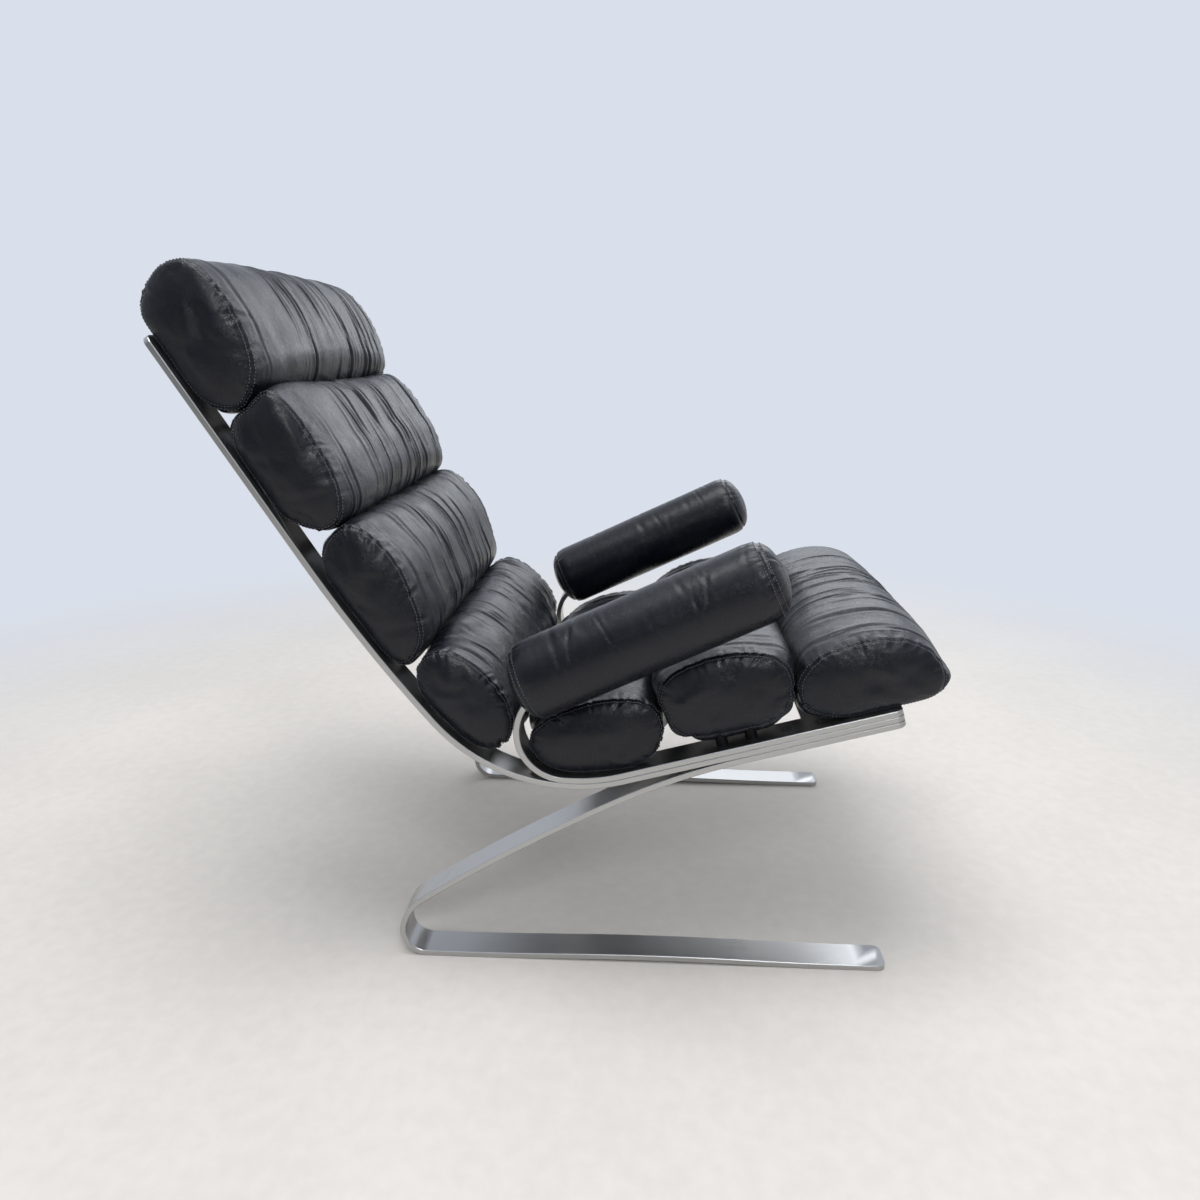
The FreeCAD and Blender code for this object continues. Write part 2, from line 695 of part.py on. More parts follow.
def make_spacers():
    """Short tubes that hold the middle seat cushion off the steel."""
    cushion = "middle_seat"
    tubes = []
    for x, along, layers in screw_places(cushion):
        tip, outward, length = screw_axis(cushion, x, along, layers)
        foot = tip + outward * (length - layers * thick)
        height = cell(cushion, "lift")
        outer = Part.makeCylinder(size("spacer_radius"), height, FreeCAD.Vector(0, 0, 0), UP)
        bore = Part.makeCylinder(size("screw_radius") + size("hole_play"), height, FreeCAD.Vector(0, 0, 0), UP)
        tubes.append(set_along(outer.cut(bore), foot, outward * -1))
    return [add_feature("middle_seat_spacers", Part.makeCompound(tubes))]


def make_cushion(cushion):
    """Cover, foam and board of one roll."""
    place = place_on(cushion)
    leather = size("leather")
    holes = Part.makeCompound(SCREW_HOLES[cushion])
    holes.Placement = place.inverse()
    outer = cushion_form(cushion, 0)
    cavity = cushion_form(cushion, -leather)
    cover = outer.cut(cavity).cut(holes)
    board = board_box(cushion)
    foam = cushion_form(cushion, -leather - size("foam_gap")).cut(board)
    pieces = []
    for part, shape in (("cover", cover), ("foam", foam), ("board", board.cut(holes))):
        feature = add_feature(cushion + "_" + part, shape)
        feature.Placement = place
        pieces.append(feature)
    return pieces


def roll_profile(body, name, radius, begin, end, rounding):
    """Half outline of an armrest roll over its axis, in the XY plane of its body."""
    sketch = new_sketch(body, name, "XY_Plane")
    turn = math.pi / 2
    flat = FreeCAD.Vector(0, 0, 1)
    low = FreeCAD.Vector(0, begin, 0)
    high = FreeCAD.Vector(0, end, 0)
    low_round = Part.Circle(FreeCAD.Vector(radius - rounding, begin + rounding, 0), flat, rounding)
    high_round = Part.Circle(FreeCAD.Vector(radius - rounding, end - rounding, 0), flat, rounding)
    sketch.addGeometry(Part.LineSegment(low, FreeCAD.Vector(radius - rounding, begin, 0)))
    sketch.addGeometry(Part.ArcOfCircle(low_round, -turn, 0))
    side_line = (FreeCAD.Vector(radius, begin + rounding, 0), FreeCAD.Vector(radius, end - rounding, 0))
    sketch.addGeometry(Part.LineSegment(*side_line))
    sketch.addGeometry(Part.ArcOfCircle(high_round, 0, turn))
    sketch.addGeometry(Part.LineSegment(FreeCAD.Vector(radius - rounding, end, 0), high))
    sketch.addGeometry(Part.LineSegment(high, low))
    joins = ((0, 2, 1, 1), (1, 2, 2, 1), (2, 2, 3, 1), (3, 2, 4, 1))
    for first, first_end, second, second_end in joins:
        sketch.addConstraint(Sketcher.Constraint("Tangent", first, first_end, second, second_end))
    sketch.addConstraint(Sketcher.Constraint("Coincident", 4, 2, 5, 1))
    sketch.addConstraint(Sketcher.Constraint("Coincident", 5, 2, 0, 1))
    sketch.addConstraint(Sketcher.Constraint("PointOnObject", 0, 1, -2))
    sketch.addConstraint(Sketcher.Constraint("Horizontal", 0))
    sketch.addConstraint(Sketcher.Constraint("Vertical", 5))
    return sketch


def make_roll_body(label, inset):
    """A solid armrest roll, drawn in by inset = (value, formula), that lies along its own Y axis."""
    body = doc.addObject("PartDesign::Body", label)
    radius = size("roll_radius") - inset[0]
    end = size("roll_length") - inset[0]
    rounding = size("roll_end_radius") - inset[0]
    sketch = roll_profile(body, label + "_outline", radius, inset[0], end, rounding)
    reach = Sketcher.Constraint("DistanceX", -1, 1, 2, 1, radius)
    bind(sketch, reach, "radius", "Sizes.roll_radius - (" + inset[1] + ")")
    start = Sketcher.Constraint("DistanceY", -1, 1, 0, 1, inset[0])
    bind(sketch, start, "start", inset[1])
    finish = Sketcher.Constraint("DistanceY", -1, 1, 4, 2, end)
    bind(sketch, finish, "finish", "Sizes.roll_length - (" + inset[1] + ")")
    rounded = Sketcher.Constraint("Radius", 1, rounding)
    bind(sketch, rounded, "end_rounding", "Sizes.roll_end_radius - (" + inset[1] + ")")
    sketch.addConstraint(Sketcher.Constraint("Equal", 1, 3))
    turned = body.newObject("PartDesign::Revolution", label + "_turned")
    turned.Profile = sketch
    turned.ReferenceAxis = (sketch, ["V_Axis"])
    turned.Angle = 360
    return body


def roll_place(side):
    """Frame of an armrest roll: its Y axis along the straight end of the armrest band."""
    exit_place = armrest_path.length - size("armrest_run")
    start, angle = armrest_path.at(exit_place, -size("roll_lift"))
    start = start - direction(angle) * size("roll_behind")
    x = side_middle(side) + side * size("roll_out")
    local = FreeCAD.Placement(
        FreeCAD.Vector(x, start.y, start.z), FreeCAD.Rotation(X_AXIS, math.degrees(angle)))
    return stack.multiply(local)


def make_armrests():
    """Leather cover and foam of each armrest roll, with the way in for the band."""
    pieces = []
    no_inset = (0.0, "0 * Sizes.leather")
    skin = (size("leather"), "Sizes.leather")
    foam_inset = (size("leather") + size("foam_gap"), "Sizes.leather + Sizes.foam_gap")
    for word, side in SIDES:
        place = roll_place(side)
        gap = 2 * size("slot_gap")
        slot = band_solid(armrest_path, size("band_width") + gap, thick + gap, side_middle(side))
        slot.Placement = stack
        outside = make_roll_body(word + "_roll_outside", no_inset)
        inside = make_roll_body(word + "_roll_inside", skin)
        filling = make_roll_body(word + "_roll_filling", foam_inset)
        for body in (outside, inside, filling):
            body.Placement = place
        shell = doc.addObject("Part::Cut", word + "_roll_shell")
        shell.Base = outside
        shell.Tool = inside
        pieces.append(cut_by(word + "_armrest_cover", shell, [slot]))
        pieces.append(cut_by(word + "_armrest_foam", filling, [slot]))
    return pieces


def check_document(pieces):
    """Stops if any object failed or any piece is empty or broken."""
    for item in doc.Objects:
        if "Invalid" in item.State or "Error" in item.State:
            raise RuntimeError(f"{item.Label} failed: {item.State}")
    for piece in pieces:
        if piece.Shape.isNull() or not piece.Shape.isValid() or not piece.Shape.Solids:
            raise RuntimeError(f"{piece.Label} has no sound solid")


def centre_on_floor(pieces):
    """Moves the chair so that its origin is under the middle of its box."""
    box = FreeCAD.BoundBox()
    for piece in pieces:
        box.add(piece.Shape.optimalBoundingBox(False, False))
    return FreeCAD.Vector(-box.Center.x, -box.Center.y, 0)


def main():
    pieces = make_sides() + make_cross_bars() + make_fasteners() + make_spacers()
    for cushion in CUSHIONS:
        pieces += make_cushion(cushion)
    pieces += make_armrests()
    doc.recompute()
    check_document(pieces)
    shift = centre_on_floor(pieces)
    os.makedirs("parts", exist_ok=True)
    for piece in pieces:
        moved = piece.Shape.copy()
        moved.translate(shift)
        moved.exportStep(f"parts/{piece.Label}.step")
        print(f"{piece.Label}: {len(moved.Solids)} solid(s), {moved.Volume / 1000:.1f} cm3")
    print("shift", round(shift.x, 3), round(shift.y, 3))


main()
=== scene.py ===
import math
import random

import bmesh
import bpy
import numpy as np
from bpy.props import FloatProperty, FloatVectorProperty, PointerProperty
from mathutils import Matrix, Vector
from mathutils.bvhtree import BVHTree


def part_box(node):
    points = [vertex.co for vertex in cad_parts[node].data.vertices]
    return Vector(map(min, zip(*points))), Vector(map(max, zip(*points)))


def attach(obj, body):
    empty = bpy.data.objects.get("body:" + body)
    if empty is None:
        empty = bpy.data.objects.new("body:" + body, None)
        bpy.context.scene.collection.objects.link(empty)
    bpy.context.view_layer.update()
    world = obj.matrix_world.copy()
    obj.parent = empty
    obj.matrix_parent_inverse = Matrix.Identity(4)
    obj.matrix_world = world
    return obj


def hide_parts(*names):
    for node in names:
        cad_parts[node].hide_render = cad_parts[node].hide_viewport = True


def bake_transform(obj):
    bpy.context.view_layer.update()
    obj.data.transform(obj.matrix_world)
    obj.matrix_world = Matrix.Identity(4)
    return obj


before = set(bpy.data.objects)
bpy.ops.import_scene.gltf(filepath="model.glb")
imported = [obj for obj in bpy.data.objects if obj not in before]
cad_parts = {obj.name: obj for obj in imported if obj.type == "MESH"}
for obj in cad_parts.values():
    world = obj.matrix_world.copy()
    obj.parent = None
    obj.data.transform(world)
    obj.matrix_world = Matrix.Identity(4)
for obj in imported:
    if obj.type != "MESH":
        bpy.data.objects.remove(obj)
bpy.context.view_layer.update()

bl_info = {
    "name": "Sprung lounge chair",
    "version": (1, 0, 0),
    "blender": (4, 5, 0),
    "location": "3D View > Sidebar > Chair",
    "description": "Leather rolls, flat steel finish and studio for a sprung lounge chair",
    "category": "Add Mesh",
}

MM = 0.001
# Row Y of the front end of the runners. Places along the chair are measured to the rear from there.
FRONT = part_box("right_base_spring")[0][1]

# Each roll lies on the steel at a place (to the rear, up) in mm, and its underside runs up the band at an
# angle in degrees. Between its seams its body swells by up to rise, is drawn in by waist and hangs down by
# sag, all in mm. The low corner on its open_side, 1 up the band and -1 down it, swells no more than the
# rest, so that light shows beside it. Its pleats lie about pleat_middle, in m across the chair. The outline
# is in mm, seen from the sitter's right: along the band, and off the band.
ROLLS = {
    "headrest": dict(
        body="back", place=(931.88, 819.08), angle=57.4, rise=17, waist=5,
        pleats=92, pleat_middle=0.06, pleat_spread=0.14,
        outline=((-40, 0.5), (0, 0.5), (40, 0.5), (62, 3.5), (77, 20), (88, 38), (93, 59), (88, 80),
                 (78, 91), (62, 98), (44, 101), (21, 103), (-5, 101), (-26, 97.5), (-49, 90.5),
                 (-66, 82), (-82, 66), (-93, 48), (-94, 35), (-86, 20), (-66, 4.5)),
    ),
    "upper_back": dict(
        body="back", place=(831.67, 662.38), angle=57.4, open_side=-1, rise=17, waist=5,
        pleats=86, pleat_middle=0.06, pleat_spread=0.15,
        outline=((-40, 0.6), (0, 0.6), (40, 0.6), (60, 4), (77, 17), (85, 32), (86, 47), (89, 62),
                 (90, 73), (83, 84), (67, 89.5), (49, 92), (27, 93), (6, 91.5), (-15, 92), (-32, 89.5),
                 (-52, 85), (-71, 77), (-87, 65), (-93, 53), (-93, 38), (-84, 26), (-69, 14), (-57, 5)),
    ),
    "middle_back": dict(
        body="back", place=(724.24, 498.70), angle=55.016, open_side=1, rise=17, waist=5,
        pleats=86, pleat_middle=0.07, pleat_spread=0.16,
        outline=((-40, 0.7), (0, 0.7), (40, 0.7), (55, 2), (67, 7), (82, 18), (91, 33), (94, 50),
                 (93, 63), (82, 75), (61, 83.5), (38, 87), (17, 88), (-5, 85), (-28, 78), (-52, 71),
                 (-74, 60), (-87, 49), (-97, 31), (-99, 18), (-90, 6.5), (-68, 1.2)),
    ),
    "lumbar": dict(
        body="back", place=(603.69, 346.84), angle=46.372, rise=14, waist=5,
        pleats=84, pleat_middle=0.03, pleat_spread=0.17,
        outline=((-26, 0.4), (0, 0.6), (30, 0.6), (48, 3), (67, 11), (79, 23), (84, 40), (80, 56),
                 (69, 71), (52, 79.5), (32, 84), (9, 85.5), (-13, 84.5), (-34, 80.5), (-58, 68),
                 (-72, 51), (-75.5, 35), (-71.5, 20), (-61, 10.3), (-45, 3.8)),
    ),
    "rear_seat": dict(
        body="seat", place=(407.92, 280.72), angle=-5.53, rise=13, waist=-8,
        pleats=60, pleat_middle=0.0, pleat_spread=0.15,
        outline=((-26, 0.3), (0, 0.3), (20, 0.4), (45, 4.5), (66, 15.5), (78, 30), (82, 43), (79, 57),
                 (65, 71), (42, 83), (12, 93), (-20, 98), (-48, 98.5), (-72, 95), (-90, 84), (-99, 68),
                 (-100, 50), (-94, 31), (-80, 13), (-56, 3)),
    ),
    "middle_seat": dict(
        body="seat", place=(218.80, 342.37), angle=-15.2, sag=13, rise=14, waist=7,
        pleats=60, pleat_middle=0.0, pleat_spread=0.15,
        outline=((-40, 0.6), (0, 0.3), (22, 0.7), (50, 4), (68, 10), (80, 25), (87, 56), (83, 78), (70, 92),
                 (50, 100), (18, 105.5), (-15, 105), (-46, 99), (-71, 88), (-85, 71), (-88, 50),
                 (-80, 20), (-62, 5.5)),
    ),
    "front_seat": dict(
        body="seat", place=(36.15, 375.72), angle=-15.2, rise=25, waist=12,
        pleats=92, pleat_middle=0.0, pleat_spread=0.12,
        outline=((-54, 0.5), (-30, 0.4), (0, 0.5), (38, 0.8), (62, 7), (80, 17), (91, 30), (92, 50), (85, 67),
                 (60, 86.5), (29, 94.5), (-8, 95.5), (-43, 89.5), (-71, 75.5), (-88, 54), (-94, 31), (-90, 14),
                 (-77, 3)),
    ),
}
# From the middle of the chair to an end seam of a roll, in mm.
SEAM_AT = 302
# Points round a roll before it is made finer.
SEGMENTS = 48
SEED = 8

# How a roll's body swells until it meets its neighbours, in mm.
PRESSED = -0.6          # rolls on one body press on each other
CLEAR = 1.6             # rolls on two bodies stay clear of each other
SWELL_STEP = 0.5
SWELL_END = 34
CORNER_SWELL = 32       # most that a low corner beside a neighbour swells
LOW_CORNER = 30         # a corner lower than this off the band swells along the band
FACING_FAR = 60         # a face this far from a neighbour doesn't press on it
FACING_NEAR = 40        # a face this near presses on it in full
FACING_RISE = 10        # added to the swelling of a face that presses
UNDERSIDE = 5           # what is lower than this off the band lies on the steel
NEIGHBOUR_POINTS = 300
# How steeply a body swells from its seams: its crown, a face that presses, and beside the steel.
CROWN_STEEP = 2.2
FACE_STEEP = 12.0
CORNER_STEEP = 40
# The armrests press on these two, so their bodies swell only between the armrests.
UNDER_ARMRESTS = ("rear_seat", "lumbar")
ARMREST_EDGE = 250
ARMREST_FADE = 60

# Steps in which the cloth simulation fills the rolls, and the cloth's settings.
FILL_FRAMES = 20
CLOTH = dict(
    quality=5, mass=0.25, tension_stiffness=12, compression_stiffness=12, shear_stiffness=4,
    bending_stiffness=0.4, use_pressure=True, vertex_group_mass="hold")

# How many of each are worked into a roll, the last two at each end.
FOLDS = 12
DIMPLES = 16
LUMPS = 20
PUCKERS = 46
# Pleats stay within this distance of the middle. They fade out before a seam, and the stuffing's lumps
# begin past it, each at an edge and over a width, in m from the seam.
PLEATED_HALF = 0.27
PLEATS_EDGE, PLEATS_FADE = -0.022, 0.006
LUMPS_EDGE, LUMPS_FADE = 0.001, 0.003
# A roll clears the steel by the first, and is worked in full from the second up, in mm.
CLEAR_OF_STEEL = 0.35
FREE_OF_STEEL = 16

# The armrest rolls: rear end of the axis (across, to the rear, up), length, radius, rounding of the ends
# and places of the seams, in mm. The axis rises to the front.
ARM_RISE = math.radians(25)
ARM_AXIS = Vector((0, -math.cos(ARM_RISE), math.sin(ARM_RISE)))
ARM_OUT = Vector((1, 0, 0))
ARM_UP = ARM_AXIS.cross(ARM_OUT).normalized()
ARM_REAR = (306.5, 508.7, 400.0)
ARM_LENGTH = 377
ARM_RADIUS = 53.6
ARM_ROUNDING = 34
ARM_SEAMS = (15, 361)
ARM_PUCKERS = 34
ARM_CREASES = 22
ARM_DENTS = 14

# Nodes of screws, bolts and spacer tubes end in these words.
FASTENER_NODES = ("screws", "bolts", "spacers")

# The camera: its place in m, the way it looks, how far its right side is turned from the chair's front,
# its roll, its sensor's width in mm and its focal length as a share of that width.
CAMERA_PLACE = (-1.5035, 0.3332 + FRONT, 0.8287)
CAMERA_AHEAD = (0.967, 0.0523, -0.2494)
CAMERA_HEADING = math.radians(3.092)
CAMERA_ROLL = 0.0021
SENSOR_WIDTH = 36
FOCAL_SHARE = 967.9 / 1200

# Each lamp's place, what it points at, width and depth, in m, share of the key light's power, and colour.
LAMPS = {
    "key": ((-0.3, 0.1, 3.3), (0, 0, 0.4), (2.0, 1.7), 1.0, (0.97, 0.985, 1.0)),
    "near_side": ((-2.6, -0.7, 2.3), (0, 0, 0.5), (0.7, 0.7), 0.36, (0.95, 0.975, 1.0)),
    "far_side": ((2.6, -0.8, 2.0), (0, 0, 0.5), (1.8, 1.8), 0.3, (0.95, 0.975, 1.0)),
}


class LeatherSizes(bpy.types.PropertyGroup):
    """What a user would change on the leather rolls."""
    pleat_depth: FloatProperty(
        name="Pleat depth", description="Depth of the deepest pleats", default=2.7 * MM, unit="LENGTH")
    pleat_width: FloatProperty(
        name="Pleat width", description="Half width of a pleat's valley", default=2.9 * MM, unit="LENGTH")
    panel_bulge: FloatProperty(
        name="Panel bulge", description="Bulge of an end panel past its seam",
        default=15 * MM, unit="LENGTH")
    seam_depth: FloatProperty(
        name="Seam depth", description="How far the seams are drawn in", default=2.2 * MM, unit="LENGTH")
    pucker_depth: FloatProperty(
        name="Pucker depth", description="Depth of the puckers beside a seam",
        default=1.35 * MM, unit="LENGTH")
    stitch_length: FloatProperty(
        name="Stitch", description="Length of one stitch", default=3.2 * MM, unit="LENGTH")
    stitch_step: FloatProperty(
        name="Stitch step", description="From one stitch to the next", default=4.4 * MM, unit="LENGTH")
    pressure: FloatProperty(
        name="Stuffing", description="Pressure with which the cloth is filled", default=4.0)
    puff_limit: FloatProperty(
        name="Puff limit", description="Farthest that a point may move in filling",
        default=3.5 * MM, unit="LENGTH")
    colour: FloatVectorProperty(
        name="Leather", description="Colour of the leather",
        default=(0.0030, 0.0040, 0.0085), size=3, subtype="COLOR")
    thread: FloatVectorProperty(
        name="Thread", description="Colour of the thread",
        default=(0.075, 0.078, 0.088), size=3, subtype="COLOR")


class SteelSizes(bpy.types.PropertyGroup):
    """What a user would change on the steel."""
    colour: FloatVectorProperty(
        name="Steel", description="Colour of the brushed steel",
        default=(0.52, 0.52, 0.515), size=3, subtype="COLOR")
    fastener: FloatVectorProperty(
        name="Fasteners", description="Colour of screws and bolts",
        default=(0.32, 0.32, 0.33), size=3, subtype="COLOR")
    roughness: FloatProperty(
        name="Roughness", description="Roughness of the brushed steel", default=0.3, min=0, max=1)


class StudioSizes(bpy.types.PropertyGroup):
    """What a user would change on the studio."""
    floor: FloatVectorProperty(
        name="Floor", description="Colour of the floor",
        default=(0.74, 0.70, 0.655), size=3, subtype="COLOR")
    background: FloatVectorProperty(
        name="Background", description="Colour behind the chair",
        default=(0.70, 0.745, 0.83), size=3, subtype="COLOR")
    level: FloatProperty(
        name="Daylight", description="Strength of the light from all round", default=0.64)
    key_power: FloatProperty(
        name="Key light", description="Power of the large lamp above", default=58.0, unit="POWER")
    floor_half: FloatProperty(
        name="Floor half width", description="Half of the floor's width", default=30.0, unit="LENGTH")


class Socket:
    """A node's output, on which Python's operators add Math nodes."""

    def __init__(self, shader, output):
        self.shader = shader
        self.output = output

    def maths(self, operation, *others):
        values = {number: other for number, other in enumerate(others, start=1)}
        return self.shader.add("ShaderNodeMath", {"operation": operation}, {0: self, **values})

    def __add__(self, other):
        return self.maths("ADD", other)

    __radd__ = __add__

    def __mul__(self, other):
        return self.maths("MULTIPLY", other)

    __rmul__ = __mul__

    def __sub__(self, other):
        return self.maths("SUBTRACT", other)

    def __rsub__(self, other):
        return self.maths("MULTIPLY", -1.0).maths("ADD", other)

    def between(self, low, high):
        """0 below low, 1 above high and smooth between them."""
        limits = {"From Min": low, "From Max": high, "To Min": 0.0, "To Max": 1.0}
        return self.shader.add(
            "ShaderNodeMapRange", {"interpolation_type": "SMOOTHSTEP"}, {"Value": self, **limits}, "Result")


class Shader:
    """A material's nodes, added through one method."""

    def __init__(self, name):
        self.material = bpy.data.materials.new(name)
        self.material.use_nodes = True
        self.tree = self.material.node_tree
        self.principled = self.tree.nodes["Principled BSDF"]
        self.surface = self.tree.nodes["Material Output"].inputs["Surface"]

    @classmethod
    def of_world(cls, name):
        """The same, for a world."""
        shader = cls.__new__(cls)
        shader.world = bpy.data.worlds.new(name)
        shader.world.use_nodes = True
        shader.tree = shader.world.node_tree
        shader.tree.nodes.clear()
        shader.surface = shader.tree.nodes.new("ShaderNodeOutputWorld").inputs["Surface"]
        return shader

    def add(self, kind, settings=None, inputs=None, output=0):
        """A node of a kind, with its settings made first, and then the values or links of its sockets."""
        node = self.tree.nodes.new(kind)
        for key, value in (settings or {}).items():
            setattr(node, key, value)
        self.join(node, inputs or {})
        return Socket(self, node.outputs[output])

    def join(self, node, inputs):
        for key, value in inputs.items():
            if isinstance(value, Socket):
                self.tree.links.new(value.output, node.inputs[key])
            elif isinstance(value, tuple) and len(value) == 3 and node.inputs[key].type == "RGBA":
                node.inputs[key].default_value = (*value, 1.0)
            else:
                node.inputs[key].default_value = value

    def finish(self, **inputs):
        """Sets the principled shader's sockets, with spaces in their names written as underscores."""
        self.join(self.principled, {key.replace("_", " "): value for key, value in inputs.items()})
        return self.material

    def place(self):
        return self.add("ShaderNodeTexCoord", output="Object")

    def stretched(self, place, scale):
        return self.add("ShaderNodeMapping", inputs={"Vector": place, "Scale": scale})

    def noise(self, place, scale, detail=3.0, rough=0.55):
        inputs = {"Vector": place, "Scale": scale, "Detail": detail, "Roughness": rough}
        return self.add("ShaderNodeTexNoise", inputs=inputs)

    def cells(self, place, scale):
        settings = {"feature": "DISTANCE_TO_EDGE"}
        return self.add("ShaderNodeTexVoronoi", settings, {"Vector": place, "Scale": scale})

    def mix(self, share, first, second):
        inputs = {0: share, 6: first, 7: second}
        return self.add("ShaderNodeMix", {"data_type": "RGBA"}, inputs, output=2)

    def bump(self, height, distance, strength=1.0, below=None):
        inputs = {"Height": height, "Distance": distance, "Strength": strength}
        if below is not None:
            inputs["Normal"] = below
        return self.add("ShaderNodeBump", inputs=inputs)


def leather_material(name, colour, creasing, polish):
    """Satin leather: pebbled grain, fine creases along the pleats, and a little wear in random patches."""
    shader = Shader(name)
    place = shader.place()
    clouds = shader.noise(place, 9.0)
    patches = shader.noise(place, 38.0, 4.0)
    across = shader.stretched(place, (150.0, 14.0, 14.0))
    creases = shader.noise(across, 1.0, 4.0, 0.6)
    grain = shader.cells(place, 620.0)
    pores = shader.noise(place, 1500.0, 2.0)
    worn = patches.between(0.5, 0.78) * clouds.between(0.4, 0.7)
    light = tuple(channel * 2.1 + 0.004 for channel in colour)
    dark = tuple(channel * 0.75 for channel in colour)
    toned = shader.mix(clouds.between(0.35, 0.7), dark, colour)
    painted = shader.mix(worn * 0.55, toned, light)
    roughness = patches * 0.3 + clouds * 0.12 - grain.between(0.0, 0.2) * 0.05 + (0.11 - polish)
    soft = shader.bump(shader.noise(place, 30.0, 3.0), 6 * MM, 0.12 + 0.2 * creasing)
    broad = shader.bump(creases, 1.1 * MM, 0.45 * creasing, soft)
    pebbles = shader.bump(grain.between(0.0, 0.16), 0.12 * MM, 0.5, broad)
    fine = shader.bump(pores, 0.05 * MM, 0.4, pebbles)
    shader.join(shader.principled, {"Specular IOR Level": 0.39, "Sheen Weight": 0.03, "Sheen Roughness": 0.4})
    return shader.finish(Base_Color=painted, Roughness=roughness, Normal=fine)


def thread_material(name, colour):
    """Waxed thread with its twist."""
    shader = Shader(name)
    twist = shader.noise(shader.place(), 2600.0, 1.0)
    paler = tuple(channel * 1.7 for channel in colour)
    painted = shader.mix(twist, colour, paler)
    return shader.finish(Base_Color=painted, Roughness=0.5, Normal=shader.bump(twist, 0.1 * MM, 0.6))


def steel_material(name, colour, roughness):
    """Steel brushed along the bands, with faint smudges."""
    shader = Shader(name)
    place = shader.place()
    lines = shader.noise(shader.stretched(place, (2600.0, 9.0, 9.0)), 1.0, 3.0, 0.65)
    broad = shader.noise(shader.stretched(place, (420.0, 5.0, 5.0)), 1.0, 2.0)
    smudge = shader.noise(place, 14.0, 4.0)
    darker = tuple(channel * 0.8 for channel in colour)
    painted = shader.mix(lines * 0.5 + smudge * 0.5, darker, colour)
    rough = lines * 0.13 + smudge * 0.1 + (roughness - 0.115)
    brushed = shader.bump(lines, 0.02 * MM, 0.35)
    wavy = shader.bump(broad, 0.04 * MM, 0.2, brushed)
    return shader.finish(Base_Color=painted, Metallic=1.0, Roughness=rough, Normal=wavy)


def wood_material(name):
    """Plywood for the boards inside the rolls."""
    shader = Shader(name)
    place = shader.place()
    figure = shader.noise(shader.stretched(place, (6.0, 90.0, 90.0)), 1.0, 4.0)
    painted = shader.mix(figure, (0.36, 0.24, 0.13), (0.56, 0.42, 0.26))
    return shader.finish(Base_Color=painted, Roughness=0.7, Normal=shader.bump(figure, 0.2 * MM, 0.4))


def dress(node_name, material):
    """Gives a carried-over CAD node its material."""
    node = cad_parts[node_name]
    node.data.materials.clear()
    node.data.materials.append(material)
    for face in node.data.polygons:
        face.material_index = 0


def new_piece(name, work, material):
    """An object at the origin from a bmesh, shaded smooth."""
    mesh = bpy.data.meshes.new(name)
    work.to_mesh(mesh)
    work.free()
    mesh.materials.append(material)
    mesh.shade_smooth()
    piece = bpy.data.objects.new(name, mesh)
    bpy.context.scene.collection.objects.link(piece)
    return piece


def eased(share):
    """A share from 0 to 1 with a smooth start and end."""
    return share * share * (3 - 2 * share)


def bell(*offsets):
    """1 where every offset is 0, and fading with each."""
    return np.exp(-sum(offset ** 2 for offset in offsets))


def wrapped(away, whole):
    """The shorter way round to a place on a closed line of a whole length."""
    return (away + whole / 2) % whole - whole / 2


def band_frame(roll):
    """Ways along and off the band under a roll, and the roll's place on it, in m."""
    angle = math.radians(roll["angle"])
    along = (0, math.cos(angle), math.sin(angle))
    off = (0, -math.sin(angle), math.cos(angle))
    start = (0, roll["place"][0] * MM + FRONT, roll["place"][1] * MM)
    return along, off, start


def laid(roll, flat, x):
    """Places in the chair, in m, of points given in mm along and off a roll's band, and across at x."""
    along, off, start = map(Vector, band_frame(roll))
    return [start + along * (u * MM) + off * (n * MM) + Vector((x * MM, 0, 0)) for u, n in flat]


def closed_curve(points, count):
    """Evenly spaced points on a smooth closed curve through the given ones, and the curve's length."""
    given = np.array(points, float)
    dense = []
    steps = 24
    for number in range(len(given)):
        before, here, after, later = (given[(number + shift) % len(given)] for shift in (-1, 0, 1, 2))
        for share in np.arange(steps) / steps:
            ease = np.array([share ** 3, share ** 2, share, 1.0])
            weights = ease @ np.array([
                [-0.5, 1.5, -1.5, 0.5], [1.0, -2.5, 2.0, -0.5], [-0.5, 0.0, 0.5, 0.0], [0.0, 1.0, 0.0, 0.0]])
            dense.append(weights @ np.array([before, here, after, later]))
    dense = np.array(dense + dense[:1])
    lengths = np.hypot(*np.diff(dense, axis=0).T)
    travel = np.concatenate([[0], np.cumsum(lengths)])
    wanted = np.linspace(0, travel[-1], count, endpoint=False)
    return np.stack([np.interp(wanted, travel, dense[:, axis]) for axis in (0, 1)], axis=1), travel[-1]


def side_view(roll, flat):
    """Places to the rear and up, in mm, of points given along and off a roll's band."""
    along, off, _ = band_frame(roll)
    return flat @ np.array([along[1:], off[1:]]) + np.array(roll["place"])


